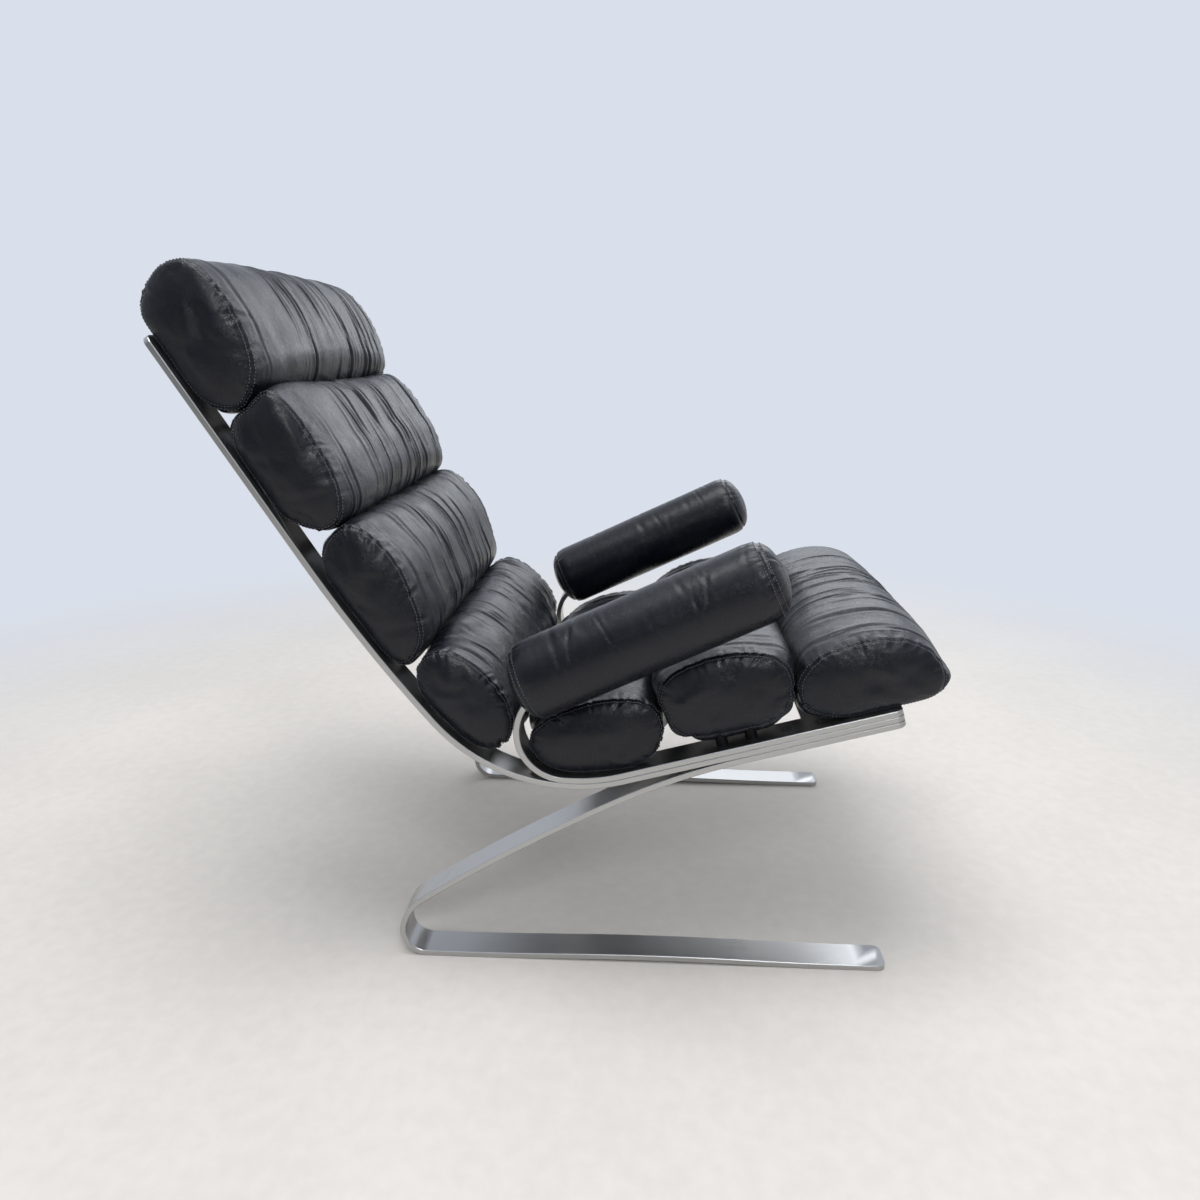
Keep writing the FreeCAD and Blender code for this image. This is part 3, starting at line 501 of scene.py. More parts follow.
def growth(name):
    """Outward ways of a roll's outline points, how far its body swells along each, and how steeply.

    The body is fuller than the drawn-in seams at its ends. It swells until it meets its neighbours.
    """
    roll = ROLLS[name]
    flat, _ = closed_curve(roll["outline"], SEGMENTS)
    ahead = np.roll(flat, -1, 0) - np.roll(flat, 1, 0)
    out = np.stack([ahead[:, 1], -ahead[:, 0]], axis=1)
    out /= np.linalg.norm(out, axis=1, keepdims=True)
    # The low corners swell along the band, so that the rolls close up beside it.
    low = (flat[:, 1] < LOW_CORNER) & (np.abs(out[:, 0]) > 0.3)
    out[low] = np.stack([np.sign(out[low, 0]), np.zeros(low.sum())], axis=1)
    near, spare = [], []
    for key, other in ROLLS.items():
        if key != name:
            near.append(side_view(other, closed_curve(other["outline"], NEIGHBOUR_POINTS)[0]))
            spare.append(np.full(NEIGHBOUR_POINTS, PRESSED if other["body"] == roll["body"] else CLEAR))
    near, spare = np.concatenate(near), np.concatenate(spare)

    def gap_at(moved):
        apart = np.linalg.norm(side_view(roll, moved)[:, None] - near[None], axis=2)
        return np.min(apart - spare[None], axis=1)

    sides = out[:, 0] ** 2
    facing = np.clip((FACING_FAR - gap_at(flat)) / (FACING_FAR - FACING_NEAR), 0, 1) * sides
    above = np.clip((flat[:, 1] - 0.6) / 3, 0, 1)
    closed = low & (np.sign(out[:, 0]) != roll.get("open_side", 0))
    limit = (roll["rise"] * (1 - 0.45 * sides * (1 - facing)) + FACING_RISE * facing) * above ** 0.7
    limit[closed] = np.maximum(limit[closed], CORNER_SWELL * facing[closed])
    sag = roll.get("sag", 0)
    under = flat[:, 1] < UNDERSIDE
    limit[under] = np.maximum(limit[under], sag)
    swell = np.zeros(len(flat))
    open_still = np.ones(len(flat), bool)
    for step in np.arange(SWELL_STEP, SWELL_END, SWELL_STEP):
        moved = flat + out * step
        open_still &= (gap_at(moved) > step) & (step <= limit) & (moved[:, 1] > 0.5 - sag)
        swell[open_still] = step
    for _ in range(3):
        swell = np.minimum(swell, (np.roll(swell, 1) + swell * 2 + np.roll(swell, -1)) / 4 + 0.3)
    # A face on the side of a neighbour, or of the steel, is full almost up to the seam.
    power = CROWN_STEEP + (FACE_STEEP - CROWN_STEEP) * facing
    power[closed | under] = CORNER_STEEP
    return out, swell, power


def swell_share(x, name, power):
    """How much of its swelling a body has at x: all in the middle, none at the seams."""
    share = min(abs(x) / SEAM_AT, 1.0)
    whole = (1 - share ** power) ** 0.9
    if name in UNDER_ARMRESTS:
        whole *= eased(min(max((ARMREST_EDGE - abs(x)) / ARMREST_FADE, 0.0), 1.0))
    return whole


def waist_share(x):
    """How much of the waist a roll has at x: all in the middle, none at the seams."""
    share = min(abs(x) / SEAM_AT, 1.0)
    return 0.5 + 0.5 * math.cos(math.pi * share ** 1.35)


def ring_values(**shared):
    """What a ring's vertices keep: values that all of them share, and their place round the roll."""
    turns = np.arange(SEGMENTS) / SEGMENTS * 2 * math.pi
    values = {name: np.full(SEGMENTS, value) for name, value in shared.items()}
    return {**values, "around_cos": np.cos(turns), "around_sin": np.sin(turns)}


def loft(rings):
    """Skin through rings of points, each extruded from the last, with both ends closed by a fan.

    Each ring is a list of places and a dict of values that its vertices keep in float layers.
    """
    work = bmesh.new()
    keys = {name: work.verts.layers.float.new(name) for name in rings[0][1]}
    count = len(rings[0][0])
    first = bmesh.ops.create_circle(work, cap_ends=False, segments=count, radius=1.0)["verts"]
    current = list(first)
    edges = list(work.edges)
    for number, (places, values) in enumerate(rings):
        if number:
            made = bmesh.ops.extrude_edge_only(work, edges=edges)["geom"]
            fresh = {item for item in made if isinstance(item, bmesh.types.BMVert)}
            edges = [item for item in made if isinstance(item, bmesh.types.BMEdge)]
            edges = [edge for edge in edges if edge.verts[0] in fresh and edge.verts[1] in fresh]
            following = []
            for vertex in current:
                following.append(next(edge.other_vert(vertex) for edge in vertex.link_edges
                                      if edge.other_vert(vertex) in fresh))
            current = following
        for index, vertex in enumerate(current):
            vertex.co = places[index]
            for name, key in keys.items():
                vertex[key] = values[name][index]
    for loop in (list(first), list(current)):
        face = bmesh.ops.contextual_create(work, geom=loop)["faces"]
        centre = bmesh.ops.poke(work, faces=face)["verts"][0]
        for key in keys.values():
            centre[key] = loop[0][key]
    bmesh.ops.recalc_face_normals(work, faces=work.faces)
    return work


def roll_rings(name, bulge):
    """Rings of a seat or back roll from one end panel's middle to the other's."""
    roll = ROLLS[name]
    section, around = closed_curve(roll["outline"], SEGMENTS)
    out, swell, power = growth(name)
    middle = section.mean(axis=0)
    top = section[:, 1].max()
    reach = section[:, 0].max() - section[:, 0].min()

    def ring(x, shrink, rim):
        waist = roll["waist"] * waist_share(x)
        flat = middle + (section - middle) * shrink + out * (swell * swell_share(x, name, power))[:, None]
        flat = flat * np.array([1 - max(waist - 6, 0) / reach, 1 - waist / top])
        return laid(roll, flat, x), ring_values(across=x * MM, rim=rim * MM)

    # Stations: the domed panel, then close rings by the seam, then even ones to the middle.
    panel = []
    for share in (0.14, 0.3, 0.46, 0.61, 0.74, 0.84, 0.91, 0.955, 0.985):
        beyond = bulge / MM * (1 - share ** 2.6) ** 0.75
        panel.append((SEAM_AT + beyond, share, (1 - share) * 50 + beyond * 0.5))
    near = [SEAM_AT, SEAM_AT - 3, SEAM_AT - 7, SEAM_AT - 12, SEAM_AT - 18]
    body = near + list(np.linspace(SEAM_AT - 25.5, 3.8, 37))
    half = [(x, 1.0, x - SEAM_AT) for x in body]
    right = [ring(-x, shrink, rim) for x, shrink, rim in panel + half]
    left = [ring(x, shrink, rim) for x, shrink, rim in reversed(panel + half)]
    return right + left, around


def read_vectors(mesh, key="co"):
    """Each vertex's place, or with the key normal its normal."""
    vectors = np.empty(len(mesh.vertices) * 3, np.float32)
    mesh.vertices.foreach_get(key, vectors)
    return vectors.reshape(-1, 3).astype(float)


def read_layer(mesh, name):
    values = np.empty(len(mesh.vertices), np.float32)
    mesh.attributes[name].data.foreach_get("value", values)
    return values.astype(float)


def read_turn(mesh):
    """Each vertex's angle round its roll."""
    return np.arctan2(read_layer(mesh, "around_sin"), read_layer(mesh, "around_cos"))


def write_points(mesh, places):
    mesh.vertices.foreach_set("co", places.astype(np.float32).ravel())
    mesh.update()


def stuff(pieces, pressure, limit):
    """Fills closed pieces like cushions: cloth under pressure, held at its seams and where it lies."""
    rest = {}
    for piece in pieces:
        mesh = piece.data
        rest[piece.name] = read_vectors(mesh)
        hold = read_layer(mesh, "hold")
        group = piece.vertex_groups.new(name="hold")
        for number, weight in enumerate(hold):
            if weight > 0.01:
                group.add([number], float(weight), "REPLACE")
        cloth = piece.modifiers.new("Filling", "CLOTH")
        for key, value in CLOTH.items():
            setattr(cloth.settings, key, value)
        cloth.settings.uniform_pressure_force = pressure
        cloth.settings.effector_weights.gravity = 0
        cloth.collision_settings.use_collision = False
        cloth.point_cache.frame_start = 1
        cloth.point_cache.frame_end = FILL_FRAMES
    scene = bpy.context.scene
    for number in range(1, FILL_FRAMES + 1):
        scene.frame_set(number)
    graph = bpy.context.evaluated_depsgraph_get()
    filled = {piece.name: read_vectors(piece.evaluated_get(graph).data) for piece in pieces}
    for piece in pieces:
        piece.modifiers.clear()
        piece.vertex_groups.clear()
        moved = filled[piece.name] - rest[piece.name]
        length = np.linalg.norm(moved, axis=1, keepdims=True)
        capped = moved * np.minimum(1.0, limit / np.maximum(length, 1e-9))
        write_points(piece.data, rest[piece.name] + capped)
    scene.frame_set(1)


def finer(piece):
    """A smooth subdivision, applied."""
    smooth = piece.modifiers.new("Finer", "SUBSURF")
    smooth.levels = 2
    smooth.render_levels = 2
    graph = bpy.context.evaluated_depsgraph_get()
    mesh = bpy.data.meshes.new_from_object(piece.evaluated_get(graph))
    piece.modifiers.clear()
    old = piece.data
    piece.data = mesh
    mesh.name = old.name
    bpy.data.meshes.remove(old)
    mesh.shade_smooth()


def valley(offset):
    """Cross-section of a pleat: a sharp valley between two low ridges."""
    ridges = np.exp(-((offset - 1.9) ** 2) * 0.7) + np.exp(-((offset + 1.9) ** 2) * 0.7)
    return 0.42 * ridges - bell(offset)


def gathers(roll, x, arc, whole, sizes, chance):
    """Relief of the fine pleats round a roll, and of a few broad folds among them."""
    relief = np.zeros(len(x))
    for _ in range(roll["pleats"]):
        centre = chance.gauss(roll["pleat_middle"], roll["pleat_spread"])
        centre = max(-PLEATED_HALF, min(PLEATED_HALF, centre))
        beginning = chance.uniform(0.1, 0.9) * whole
        reach = chance.uniform(0.12, 0.36) * whole
        slant = chance.uniform(-0.05, 0.05)
        sway = chance.uniform(0.5, 2.2) * MM
        pitch = chance.uniform(22, 60)
        phase = chance.uniform(0, 6.28)
        depth = sizes.pleat_depth * chance.uniform(0.18, 1.0) ** 1.3
        width = sizes.pleat_width * chance.uniform(0.7, 1.9)
        along = wrapped(arc - beginning, whole)
        line = centre + slant * along + sway * np.sin(pitch * along * 2 + phase)
        window = eased(np.clip(1 - np.abs(along) / reach, 0, 1))
        relief += depth * window * valley((x - line) / width)
    for _ in range(FOLDS):
        centre = chance.uniform(-0.25, 0.25)
        beginning = chance.uniform(0.2, 0.8) * whole
        reach = chance.uniform(0.15, 0.3) * whole
        slant = chance.uniform(-0.12, 0.12)
        along = wrapped(arc - beginning, whole)
        window = np.clip(1 - (along / reach) ** 2, 0, 1)
        offset = (x - centre - slant * along) / (chance.uniform(10, 19) * MM)
        relief -= chance.uniform(0.7, 1.9) * MM * window * bell(offset)
    return relief


def dimples(x, arc, whole, chance):
    """Relief of broad dimples on the smoother leather beside the end seams."""
    relief = np.zeros(len(x))
    for _ in range(DIMPLES):
        side = chance.choice((-1, 1))
        centre = side * chance.uniform(0.215, 0.292)
        beginning = chance.uniform(0, whole)
        width = chance.uniform(7, 15) * MM
        reach = chance.uniform(14, 42) * MM
        slant = chance.uniform(-0.5, 0.5)
        along = wrapped(arc - beginning, whole)
        offset = (x - centre - slant * along) / width
        relief -= chance.uniform(0.3, 1.1) * MM * bell(offset, along / reach)
    return relief


def lumps(x, ahead, rise, chance):
    """Relief of soft lumps of the stuffing under both end panels, by places along and off the band."""
    relief = np.zeros(len(x))
    for side in (-1, 1):
        here = (x * side) > 0
        for _ in range(LUMPS):
            along, above = chance.uniform(-80, 80) * MM, chance.uniform(8, 95) * MM
            long, wide = chance.uniform(14, 34) * MM, chance.uniform(6, 13) * MM
            lean = chance.uniform(-1.2, 1.2)
            first = (ahead - along) * math.cos(lean) + (rise - above) * math.sin(lean)
            second = (rise - above) * math.cos(lean) - (ahead - along) * math.sin(lean)
            depth = chance.uniform(-2.4, 2.0) * MM
            relief += np.where(here, depth * bell(first / long, second / wide), 0)
    return relief


def puckers(x, rim, arc, whole, sizes, chance):
    """Relief of the puckers across both end seams, which fade on both sides of the seam."""
    relief = np.zeros(len(x))
    for side in (-1, 1):
        here = (x * side) > 0
        for _ in range(PUCKERS):
            beginning = chance.uniform(0, whole)
            width = chance.uniform(1.8, 5.0) * MM
            reach = chance.uniform(7, 30) * MM
            lean = chance.uniform(-0.35, 0.35)
            along = wrapped(arc - beginning - lean * rim, whole)
            fade = bell(rim / np.where(rim > 0, reach * 0.45, reach))
            depth = sizes.pucker_depth * chance.uniform(0.3, 1.0)
            relief += np.where(here, depth * fade * valley(along / width), 0)
    return relief


def pleat(piece, roll, around, sizes, seed):
    """Works the gathers, the drawn-in seams and their puckers into a roll's skin."""
    chance = random.Random(seed)
    mesh = piece.data
    places = read_vectors(mesh)
    x = read_layer(mesh, "across")
    rim = read_layer(mesh, "rim")
    turn = read_turn(mesh) % (2 * math.pi)
    arc = turn / (2 * math.pi) * around * MM
    whole = around * MM
    along, off, start = map(np.array, band_frame(roll))
    rise = (places - start) @ off
    in_body = 1 / (1 + np.exp((rim - PLEATS_EDGE) / PLEATS_FADE))
    on_panel = 1 / (1 + np.exp((LUMPS_EDGE - rim) / LUMPS_FADE))
    shift = gathers(roll, x, arc, whole, sizes, chance)
    # The gathers are drawn together along the underside's two long seams, so they deepen there.
    low = np.abs(turn - math.pi) / math.pi
    shift *= 1 + 0.6 * np.clip(low - 0.35, 0, 1)
    shift = np.maximum(shift, -1.6 * sizes.pleat_depth) * in_body
    shift += dimples(x, arc, whole, chance)
    shift += lumps(x, (places - start) @ along, rise, chance) * on_panel
    shift -= sizes.seam_depth * bell(rim / (2.4 * MM))
    shift += puckers(x, rim, arc, whole, sizes, chance)
    # Where the roll lies on the steel it stays flat.
    sag = roll.get("sag", 0)
    shift *= np.clip((rise + (sag - 1) * MM) / (FREE_OF_STEEL * MM), 0, 1)
    places = places + read_vectors(mesh, "normal") * shift[:, None]
    height = (places - start) @ off
    places = places + np.maximum((CLEAR_OF_STEEL - sag) * MM - height, 0)[:, None] * off
    write_points(mesh, places)


def one_stitch():
    """A stitch of unit size, copied to each place along a seam."""
    work = bmesh.new()
    bmesh.ops.create_uvsphere(work, u_segments=6, v_segments=4, radius=1.0)
    mesh = bpy.data.meshes.new("stitch")
    work.to_mesh(mesh)
    work.free()
    return mesh


def sew(work, stitch, surface, spots, length, step):
    """Stitches along a closed row of spots, laid on the surface."""
    ring = [surface.find_nearest(spot)[:2] for spot in spots]
    travel = [0.0]
    for number in range(len(ring)):
        travel.append(travel[-1] + (ring[(number + 1) % len(ring)][0] - ring[number][0]).length)
    count = int(travel[-1] / step)
    number = 0
    for index in range(count):
        want = index * travel[-1] / count
        while travel[number + 1] < want:
            number += 1
        share = (want - travel[number]) / max(travel[number + 1] - travel[number], 1e-9)
        here, up = ring[number]
        there = ring[(number + 1) % len(ring)][0]
        spot = here.lerp(there, share)
        way = (there - here).normalized()
        side = up.cross(way).normalized()
        top = way.cross(side)
        turn = Matrix((way, side, top)).transposed().to_4x4()
        scale = Matrix.Diagonal((length / 2, 0.62 * MM, 0.55 * MM, 1.0))
        matrix = Matrix.Translation(spot + top * 0.3 * MM) @ turn @ scale
        stitch.transform(matrix)
        work.from_mesh(stitch)
        stitch.transform(matrix.inverted())


def sew_rows(piece, name, body, rows, sizes, material):
    """Stitches on a piece along closed rows of spots, as a piece of their own."""
    mesh = piece.data
    surface = BVHTree.FromPolygons([v.co for v in mesh.vertices], [p.vertices[:] for p in mesh.polygons])
    work = bmesh.new()
    stitch = one_stitch()
    for spots in rows:
        sew(work, stitch, surface, spots, sizes.stitch_length, sizes.stitch_step)
    bpy.data.meshes.remove(stitch)
    stitches = new_piece(name + "_stitches", work, material)
    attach(stitches, body)


def sew_roll(piece, name, roll, sizes, material):
    """Two rows of stitches beside each end seam of a roll, one on the body and one on the panel."""
    section, _ = closed_curve(roll["outline"], 200)
    middle = section.mean(axis=0)
    rows = []
    for side in (-1, 1):
        for x, shrink in ((SEAM_AT - 5.0, 1.0), (SEAM_AT + 2.0, 0.97)):
            rows.append(laid(roll, middle + (section - middle) * shrink, side * x))
    sew_rows(piece, name, roll["body"], rows, sizes, material)


def hold_weights(piece, roll):
    """Seams and the underside are held while the roll is filled."""
    mesh = piece.data
    _, off, start = map(np.array, band_frame(roll))
    height = (read_vectors(mesh) - start) @ off
    at_seam = bell(read_layer(mesh, "rim") / (3 * MM))
    held = np.maximum(at_seam, np.clip(1 - (height - 2 * MM) / (8 * MM), 0, 1))
    layer = mesh.attributes.new("hold", "FLOAT", "POINT")
    layer.data.foreach_set("value", held.astype(np.float32))


def make_rolls(names, sizes, leather, thread):
    """The rolls of the seat or the back: lofted, filled, pleated and sewn."""
    pieces = []
    arounds = {}
    for name in names:
        rings, arounds[name] = roll_rings(name, sizes.panel_bulge)
        piece = new_piece(name + "_roll", loft(rings), leather)
        hold_weights(piece, ROLLS[name])
        pieces.append(piece)
    stuff(pieces, sizes.pressure, sizes.puff_limit)
    for number, (name, piece) in enumerate(zip(names, pieces)):
        roll = ROLLS[name]
        finer(piece)
        pleat(piece, roll, arounds[name], sizes, SEED + number + len(name) * 7)
        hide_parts(name + "_cover", name + "_foam")
        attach(piece, roll["body"])
        sew_roll(piece, name, roll, sizes, thread)


def arm_radius(place):
    """Radius of an armrest roll at a place along its axis: straight, with rounded ends."""
    end = min(place, ARM_LENGTH - place)
    share = max(0.0, 1 - end / ARM_ROUNDING)
    return ARM_RADIUS - ARM_ROUNDING + ARM_ROUNDING * math.sqrt(max(0.0, 1 - share ** 2.2))


def arm_ring(side, place, radius, turns):
    """Places round an armrest's axis, in m, at a place along it in mm."""
    rear = Vector((side * ARM_REAR[0] * MM, ARM_REAR[1] * MM + FRONT, ARM_REAR[2] * MM))
    spots = []
    for turn in turns:
        around = ARM_UP * math.cos(turn) + ARM_OUT * (side * math.sin(turn))
        spots.append(rear + ARM_AXIS * (place * MM) + around * (radius * MM))
    return spots


def crease_armrest(mesh, chance):
    """Works the drawn-in seams, their puckers, long creases and soft dents into an armrest's skin."""
    along = read_layer(mesh, "along")
    turn = read_turn(mesh)
    circle = 2 * math.pi
    relief = np.zeros(len(along))
    for seam in ARM_SEAMS:
        away = along - seam * MM
        relief -= 1.5 * MM * bell(away / (2.2 * MM))
        for _ in range(ARM_PUCKERS):
            centre = chance.uniform(-math.pi, math.pi)
            width = chance.uniform(0.03, 0.075)
            reach = chance.uniform(6, 26) * MM
            lean = chance.uniform(-6, 6)
            offset = wrapped(turn - centre - lean * away, circle)
            relief += chance.uniform(0.2, 0.8) * MM * bell(away / reach) * valley(offset / width)
    for _ in range(ARM_CREASES):
        centre = chance.gauss(0.4, 0.9)
        # Most creases lie near the front seam or the rear seam.
        places = (chance.uniform(0.24, 0.36), chance.uniform(0.03, 0.14), chance.uniform(0.1, 0.3))
        place = chance.choice(places)
        reach = chance.uniform(0.25, 0.9)
        width = chance.uniform(2.2, 5.0) * MM
        slant = chance.uniform(-16, 16) * MM
        away = wrapped(turn - centre, circle)
        offset = (along - place - slant * away) / width
        relief += chance.uniform(0.15, 0.75) * MM * valley(offset) * bell(away / reach)
    for _ in range(ARM_DENTS):
        centre = chance.uniform(-math.pi, math.pi)
        place = chance.uniform(0.03, 0.35)
        away = wrapped(turn - centre, circle)
        offset = (along - place) / (chance.uniform(25, 60) * MM)
        relief += chance.uniform(-0.9, 0.6) * MM * bell(offset, away / 0.5)
    write_points(mesh, read_vectors(mesh) + read_vectors(mesh, "normal") * relief[:, None])


def make_armrest(side, word, sizes, leather, thread):
    """One armrest roll: a long soft cylinder with sewn end caps."""
    ends = [0.5, 2, 4.5, 8, 12, 15, 18, 23, 29]
    spread = ends + list(np.linspace(36, ARM_LENGTH - 36, 40)) + [ARM_LENGTH - end for end in reversed(ends)]
    rim_radius = arm_radius(ends[0])
    caps = [(share, 4 * (1 - share ** 2)) for share in (0.15, 0.35, 0.55, 0.75, 0.9)]
    stations = [(-dome, share * rim_radius) for share, dome in caps]
    stations += [(place, arm_radius(place)) for place in spread]
    stations += [(ARM_LENGTH + dome, share * rim_radius) for share, dome in reversed(caps)]
    turns = np.arange(SEGMENTS) / SEGMENTS * 2 * math.pi
    rings = []
    for place, radius in stations:
        rings.append((arm_ring(side, place, radius, turns), ring_values(along=place * MM)))
    name = word + "_armrest"
    piece = new_piece(name + "_roll", loft(rings), leather)
    finer(piece)
    crease_armrest(piece.data, random.Random(SEED + 40 + side))
    fine_turns = np.arange(180) / 180 * 2 * math.pi
    rows = []
    for seam, hand in zip(ARM_SEAMS, (1, -1)):
        for place in (seam + hand * 4.2, seam - hand * 3.2):
            rows.append(arm_ring(side, place, arm_radius(place), fine_turns))
    sew_rows(piece, name, "seat", rows, sizes, thread)
    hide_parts(word + "_armrest_cover", word + "_armrest_foam")
    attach(piece, "seat")


def own_copy(node_name, name, material):
    """A copy of a CAD node as a piece of its own, with its loose triangles joined."""
    work = bmesh.new()
    work.from_mesh(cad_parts[node_name].data)
    bmesh.ops.remove_doubles(work, verts=work.verts, dist=0.002 * MM)
    piece = new_piece(name, work, material)
    for face in piece.data.polygons:
        face.material_index = 0
    piece.data.set_sharp_from_angle(angle=math.radians(24))
    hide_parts(node_name)
    return piece


class CHAIR_OT_steel(bpy.types.Operator):
    """Finishes the steel bands, bars and fasteners, and copies the springs and long bands as pieces of their
    own
    """
    bl_idname = "chair.steel"
    bl_label = "Steel"

    def execute(self, context):
        sizes = context.scene.chair_steel
        steel = steel_material("brushed_steel", tuple(sizes.colour), sizes.roughness)
        fixing = steel_material("fastener_steel", tuple(sizes.fastener), sizes.roughness + 0.08)
        for word in ("right", "left"):
            spring = own_copy(word + "_base_spring", word + "_spring", steel)
            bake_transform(spring)
            band = own_copy(word + "_seat_back_band", word + "_long_band", steel)
            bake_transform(band)
            dress(word + "_armrest_band", steel)
        for bar in ("front_cross_bar", "rear_cross_bar"):
            dress(bar, steel)
        # Painted shade: the spacer tubes get a near-black steel so that they sit dark in the shade between the
        # rolls and the band, where they would otherwise show bright.
        spacer_shade_steel = steel_material("spacer_steel_painted_shade", (0.02, 0.02, 0.022), 0.5)
        for node_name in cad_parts:
            if node_name.endswith(FASTENER_NODES):
                dress(node_name, spacer_shade_steel if node_name.endswith("spacers") else fixing)
        return {"FINISHED"}


class CHAIR_OT_boards(bpy.types.Operator):
    """Gives the boards inside the rolls their wood"""
    bl_idname = "chair.boards"
    bl_label = "Boards"

    def execute(self, context):
        wood = wood_material("plywood")
        for name in ROLLS:
            dress(name + "_board", wood)
        return {"FINISHED"}


class CHAIR_OT_rolls(bpy.types.Operator):
    """Makes the four back rolls and the three seat rolls"""
    bl_idname = "chair.rolls"
    bl_label = "Seat and back rolls"

    def execute(self, context):
        sizes = context.scene.chair_leather
        leather = leather_material("black_leather", tuple(sizes.colour), 1.0, 0.0)
        thread = thread_material("black_thread", tuple(sizes.thread))
        make_rolls(tuple(ROLLS), sizes, leather, thread)
        return {"FINISHED"}


class CHAIR_OT_armrests(bpy.types.Operator):
    """Makes the two armrest rolls"""
    bl_idname = "chair.armrests"
    bl_label = "Armrest rolls"

    def execute(self, context):
        sizes = context.scene.chair_leather
        leather = leather_material("armrest_leather", tuple(sizes.colour), 0.0, 0.04)
        thread = thread_material("armrest_thread", tuple(sizes.thread))
        for side, word in ((-1, "right"), (1, "left")):
            make_armrest(side, word, sizes, leather, thread)
        return {"FINISHED"}


def lamp(name, key_power):
    """One of the table's rectangular lamps."""
    place, towards, size, share, colour = LAMPS[name]
    light = bpy.data.lights.new(name, "AREA")
    light.shape = "RECTANGLE"
    light.size, light.size_y = size
    light.energy = key_power * share
    light.color = colour
    obj = bpy.data.objects.new(name, light)
    obj.location = place
    obj.rotation_euler = (Vector(towards) - Vector(place)).to_track_quat("-Z", "Y").to_euler()
    bpy.context.scene.collection.objects.link(obj)


def daylight_world(background, level):
    """Even daylight. Seen or mirrored, it is the pale background, which darkens to the sitter's right."""
    shader = Shader.of_world("daylight")
    place = shader.add("ShaderNodeTexCoord", output="Generated")
    apart = shader.add("ShaderNodeSeparateXYZ", inputs={0: place}, output="X")
    height = shader.add("ShaderNodeSeparateXYZ", inputs={0: place}, output="Z")
    bright = (apart + height * 0.7).between(-0.75, 0.35)
    dim = tuple(channel * 0.3 for channel in background)
    mirrored = shader.mix(bright, dim, background)
    camera = shader.add("ShaderNodeLightPath", output="Is Camera Ray")
    glossy = shader.add("ShaderNodeLightPath", output="Is Glossy Ray")
    through = shader.add("ShaderNodeLightPath", output="Is Transmission Ray")
    shown = shader.mix(camera, mirrored, background)
    seen = camera.maths("MAXIMUM", glossy).maths("MAXIMUM", through)
    colour = shader.mix(seen, (0.93, 0.96, 1.0), shown)
    strength = 1 - (1 - seen) * (1 - level)
    light = shader.add("ShaderNodeBackground", inputs={"Color": colour, "Strength": strength})
    shader.tree.links.new(light.output, shader.surface)
    return shader.world


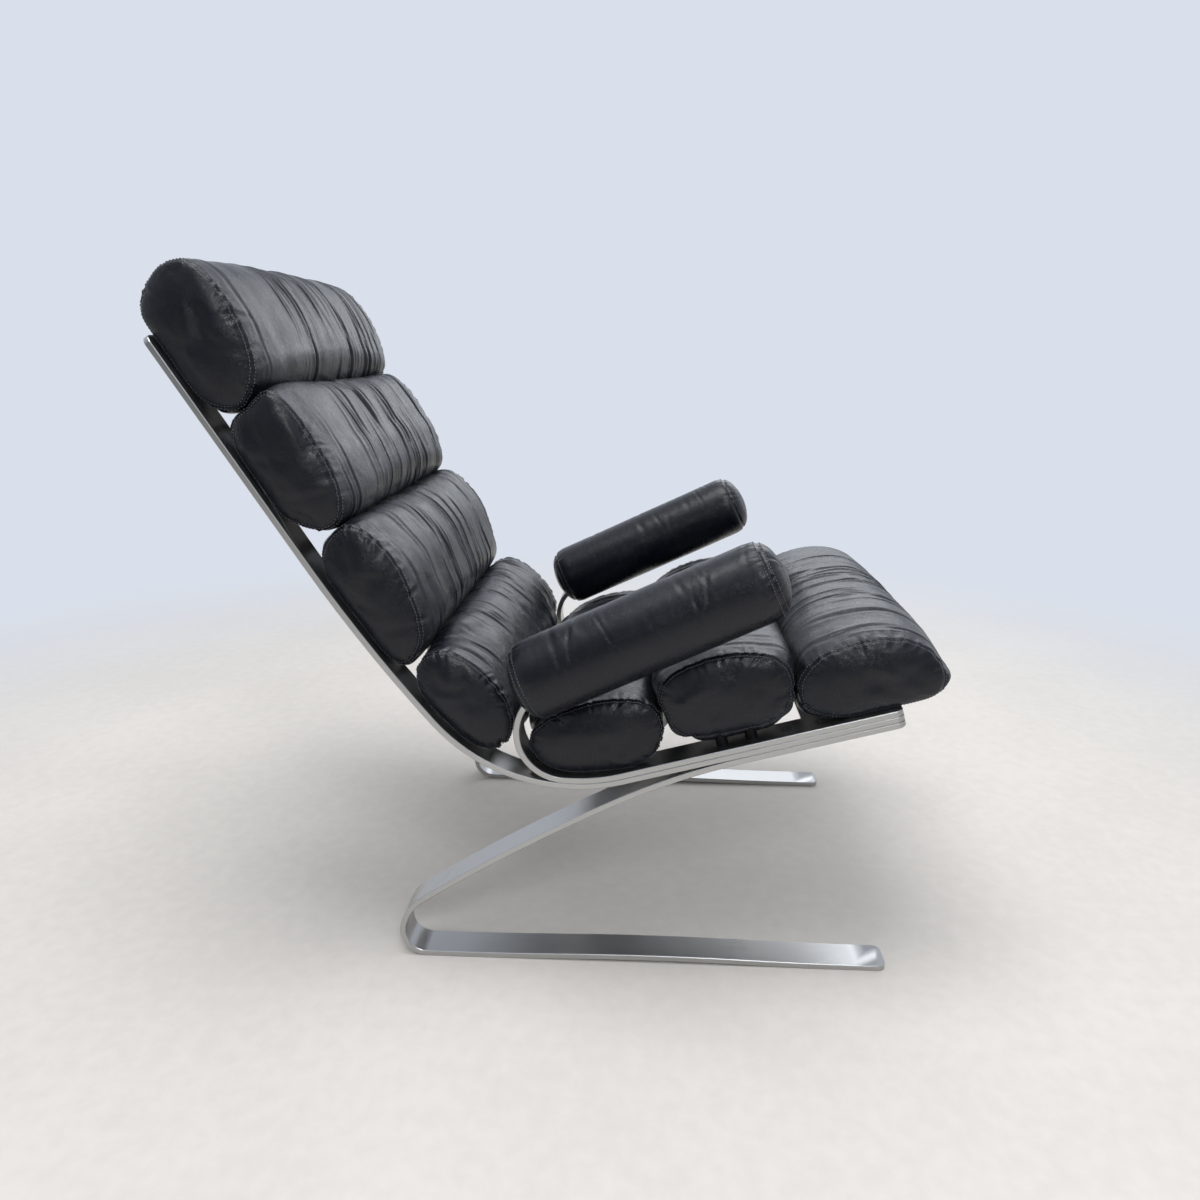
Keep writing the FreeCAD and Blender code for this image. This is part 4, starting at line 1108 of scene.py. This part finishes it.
class CHAIR_OT_stage(bpy.types.Operator):
    """Sets up the floor, the daylight, the lamps and the camera"""
    bl_idname = "chair.stage"
    bl_label = "Studio"

    def execute(self, context):
        sizes = context.scene.chair_studio
        scene = context.scene
        scene.view_settings.view_transform = "Standard"
        background = tuple(sizes.background)
        work = bmesh.new()
        bmesh.ops.create_grid(work, x_segments=1, y_segments=1, size=sizes.floor_half)
        floor = new_piece("floor", work, self.floor_material(tuple(sizes.floor), background))
        scene.world = daylight_world(background, sizes.level)
        for name in LAMPS:
            lamp(name, sizes.key_power)
        camera = bpy.data.cameras.new("camera")
        camera.sensor_width = SENSOR_WIDTH
        camera.lens = FOCAL_SHARE * SENSOR_WIDTH
        camera.clip_end = 200
        viewer = bpy.data.objects.new("camera", camera)
        ahead = Vector(CAMERA_AHEAD).normalized()
        right = Vector((math.sin(CAMERA_HEADING), -math.cos(CAMERA_HEADING), 0))
        right = (right - ahead * right.dot(ahead)).normalized()
        above = right.cross(ahead)
        turned = Matrix((right, above, -ahead)).transposed().to_4x4()
        turned = turned @ Matrix.Rotation(CAMERA_ROLL, 4, "Z")
        viewer.matrix_world = Matrix.Translation(CAMERA_PLACE) @ turned
        scene.collection.objects.link(viewer)
        scene.camera = viewer
        return {"FINISHED"}

    def floor_material(self, colour, background):
        """Pale floor that fades into the background away from the chair."""
        shader = Shader("pale_floor")
        place = shader.place()
        away = shader.add("ShaderNodeVectorMath", {"operation": "LENGTH"}, {0: place}, "Value")
        mottle = shader.noise(place, 3.0, 6.0) * 0.5 + shader.noise(place, 40.0, 4.0) * 0.5
        darker = tuple(channel * 0.93 for channel in colour)
        painted = shader.mix(mottle.between(0.35, 0.65), darker, colour)
        shader.finish(Base_Color=painted, Roughness=0.75)
        path = shader.add("ShaderNodeLightPath", output="Is Camera Ray")
        far = shader.add("ShaderNodeEmission", inputs={"Color": background, "Strength": 1.0})
        share = away.between(1.1, 2.6) * path
        blend = shader.tree.nodes.new("ShaderNodeMixShader")
        shader.join(blend, {0: share})
        shader.tree.links.new(shader.principled.outputs[0], blend.inputs[1])
        shader.tree.links.new(far.output, blend.inputs[2])
        shader.tree.links.new(blend.outputs[0], shader.surface)
        return shader.material


class CHAIR_PT_panel(bpy.types.Panel):
    """Lists the chair's pieces in the sidebar"""
    bl_idname = "CHAIR_PT_panel"
    bl_label = "Sprung lounge chair"
    bl_space_type = "VIEW_3D"
    bl_region_type = "UI"
    bl_category = "Chair"

    def draw(self, context):
        column = self.layout.column()
        for operator in OPERATORS:
            column.operator(operator.bl_idname)
        for name, group in GROUPS.items():
            for key in group.__annotations__:
                column.prop(getattr(context.scene, name), key)


# Property groups by their names in the scene.
GROUPS = {"chair_leather": LeatherSizes, "chair_steel": SteelSizes, "chair_studio": StudioSizes}
OPERATORS = (CHAIR_OT_steel, CHAIR_OT_boards, CHAIR_OT_rolls, CHAIR_OT_armrests, CHAIR_OT_stage)
CLASSES = (*GROUPS.values(), *OPERATORS, CHAIR_PT_panel)


def register():
    for cls in CLASSES:
        bpy.utils.register_class(cls)
    for name, group in GROUPS.items():
        setattr(bpy.types.Scene, name, PointerProperty(type=group))


def unregister():
    for name in GROUPS:
        delattr(bpy.types.Scene, name)
    for cls in reversed(CLASSES):
        bpy.utils.unregister_class(cls)


def main():
    register()
    bpy.ops.chair.steel()
    bpy.ops.chair.boards()
    bpy.ops.chair.rolls()
    bpy.ops.chair.armrests()
    bpy.ops.chair.stage()


if __name__ == "__main__":
    main()
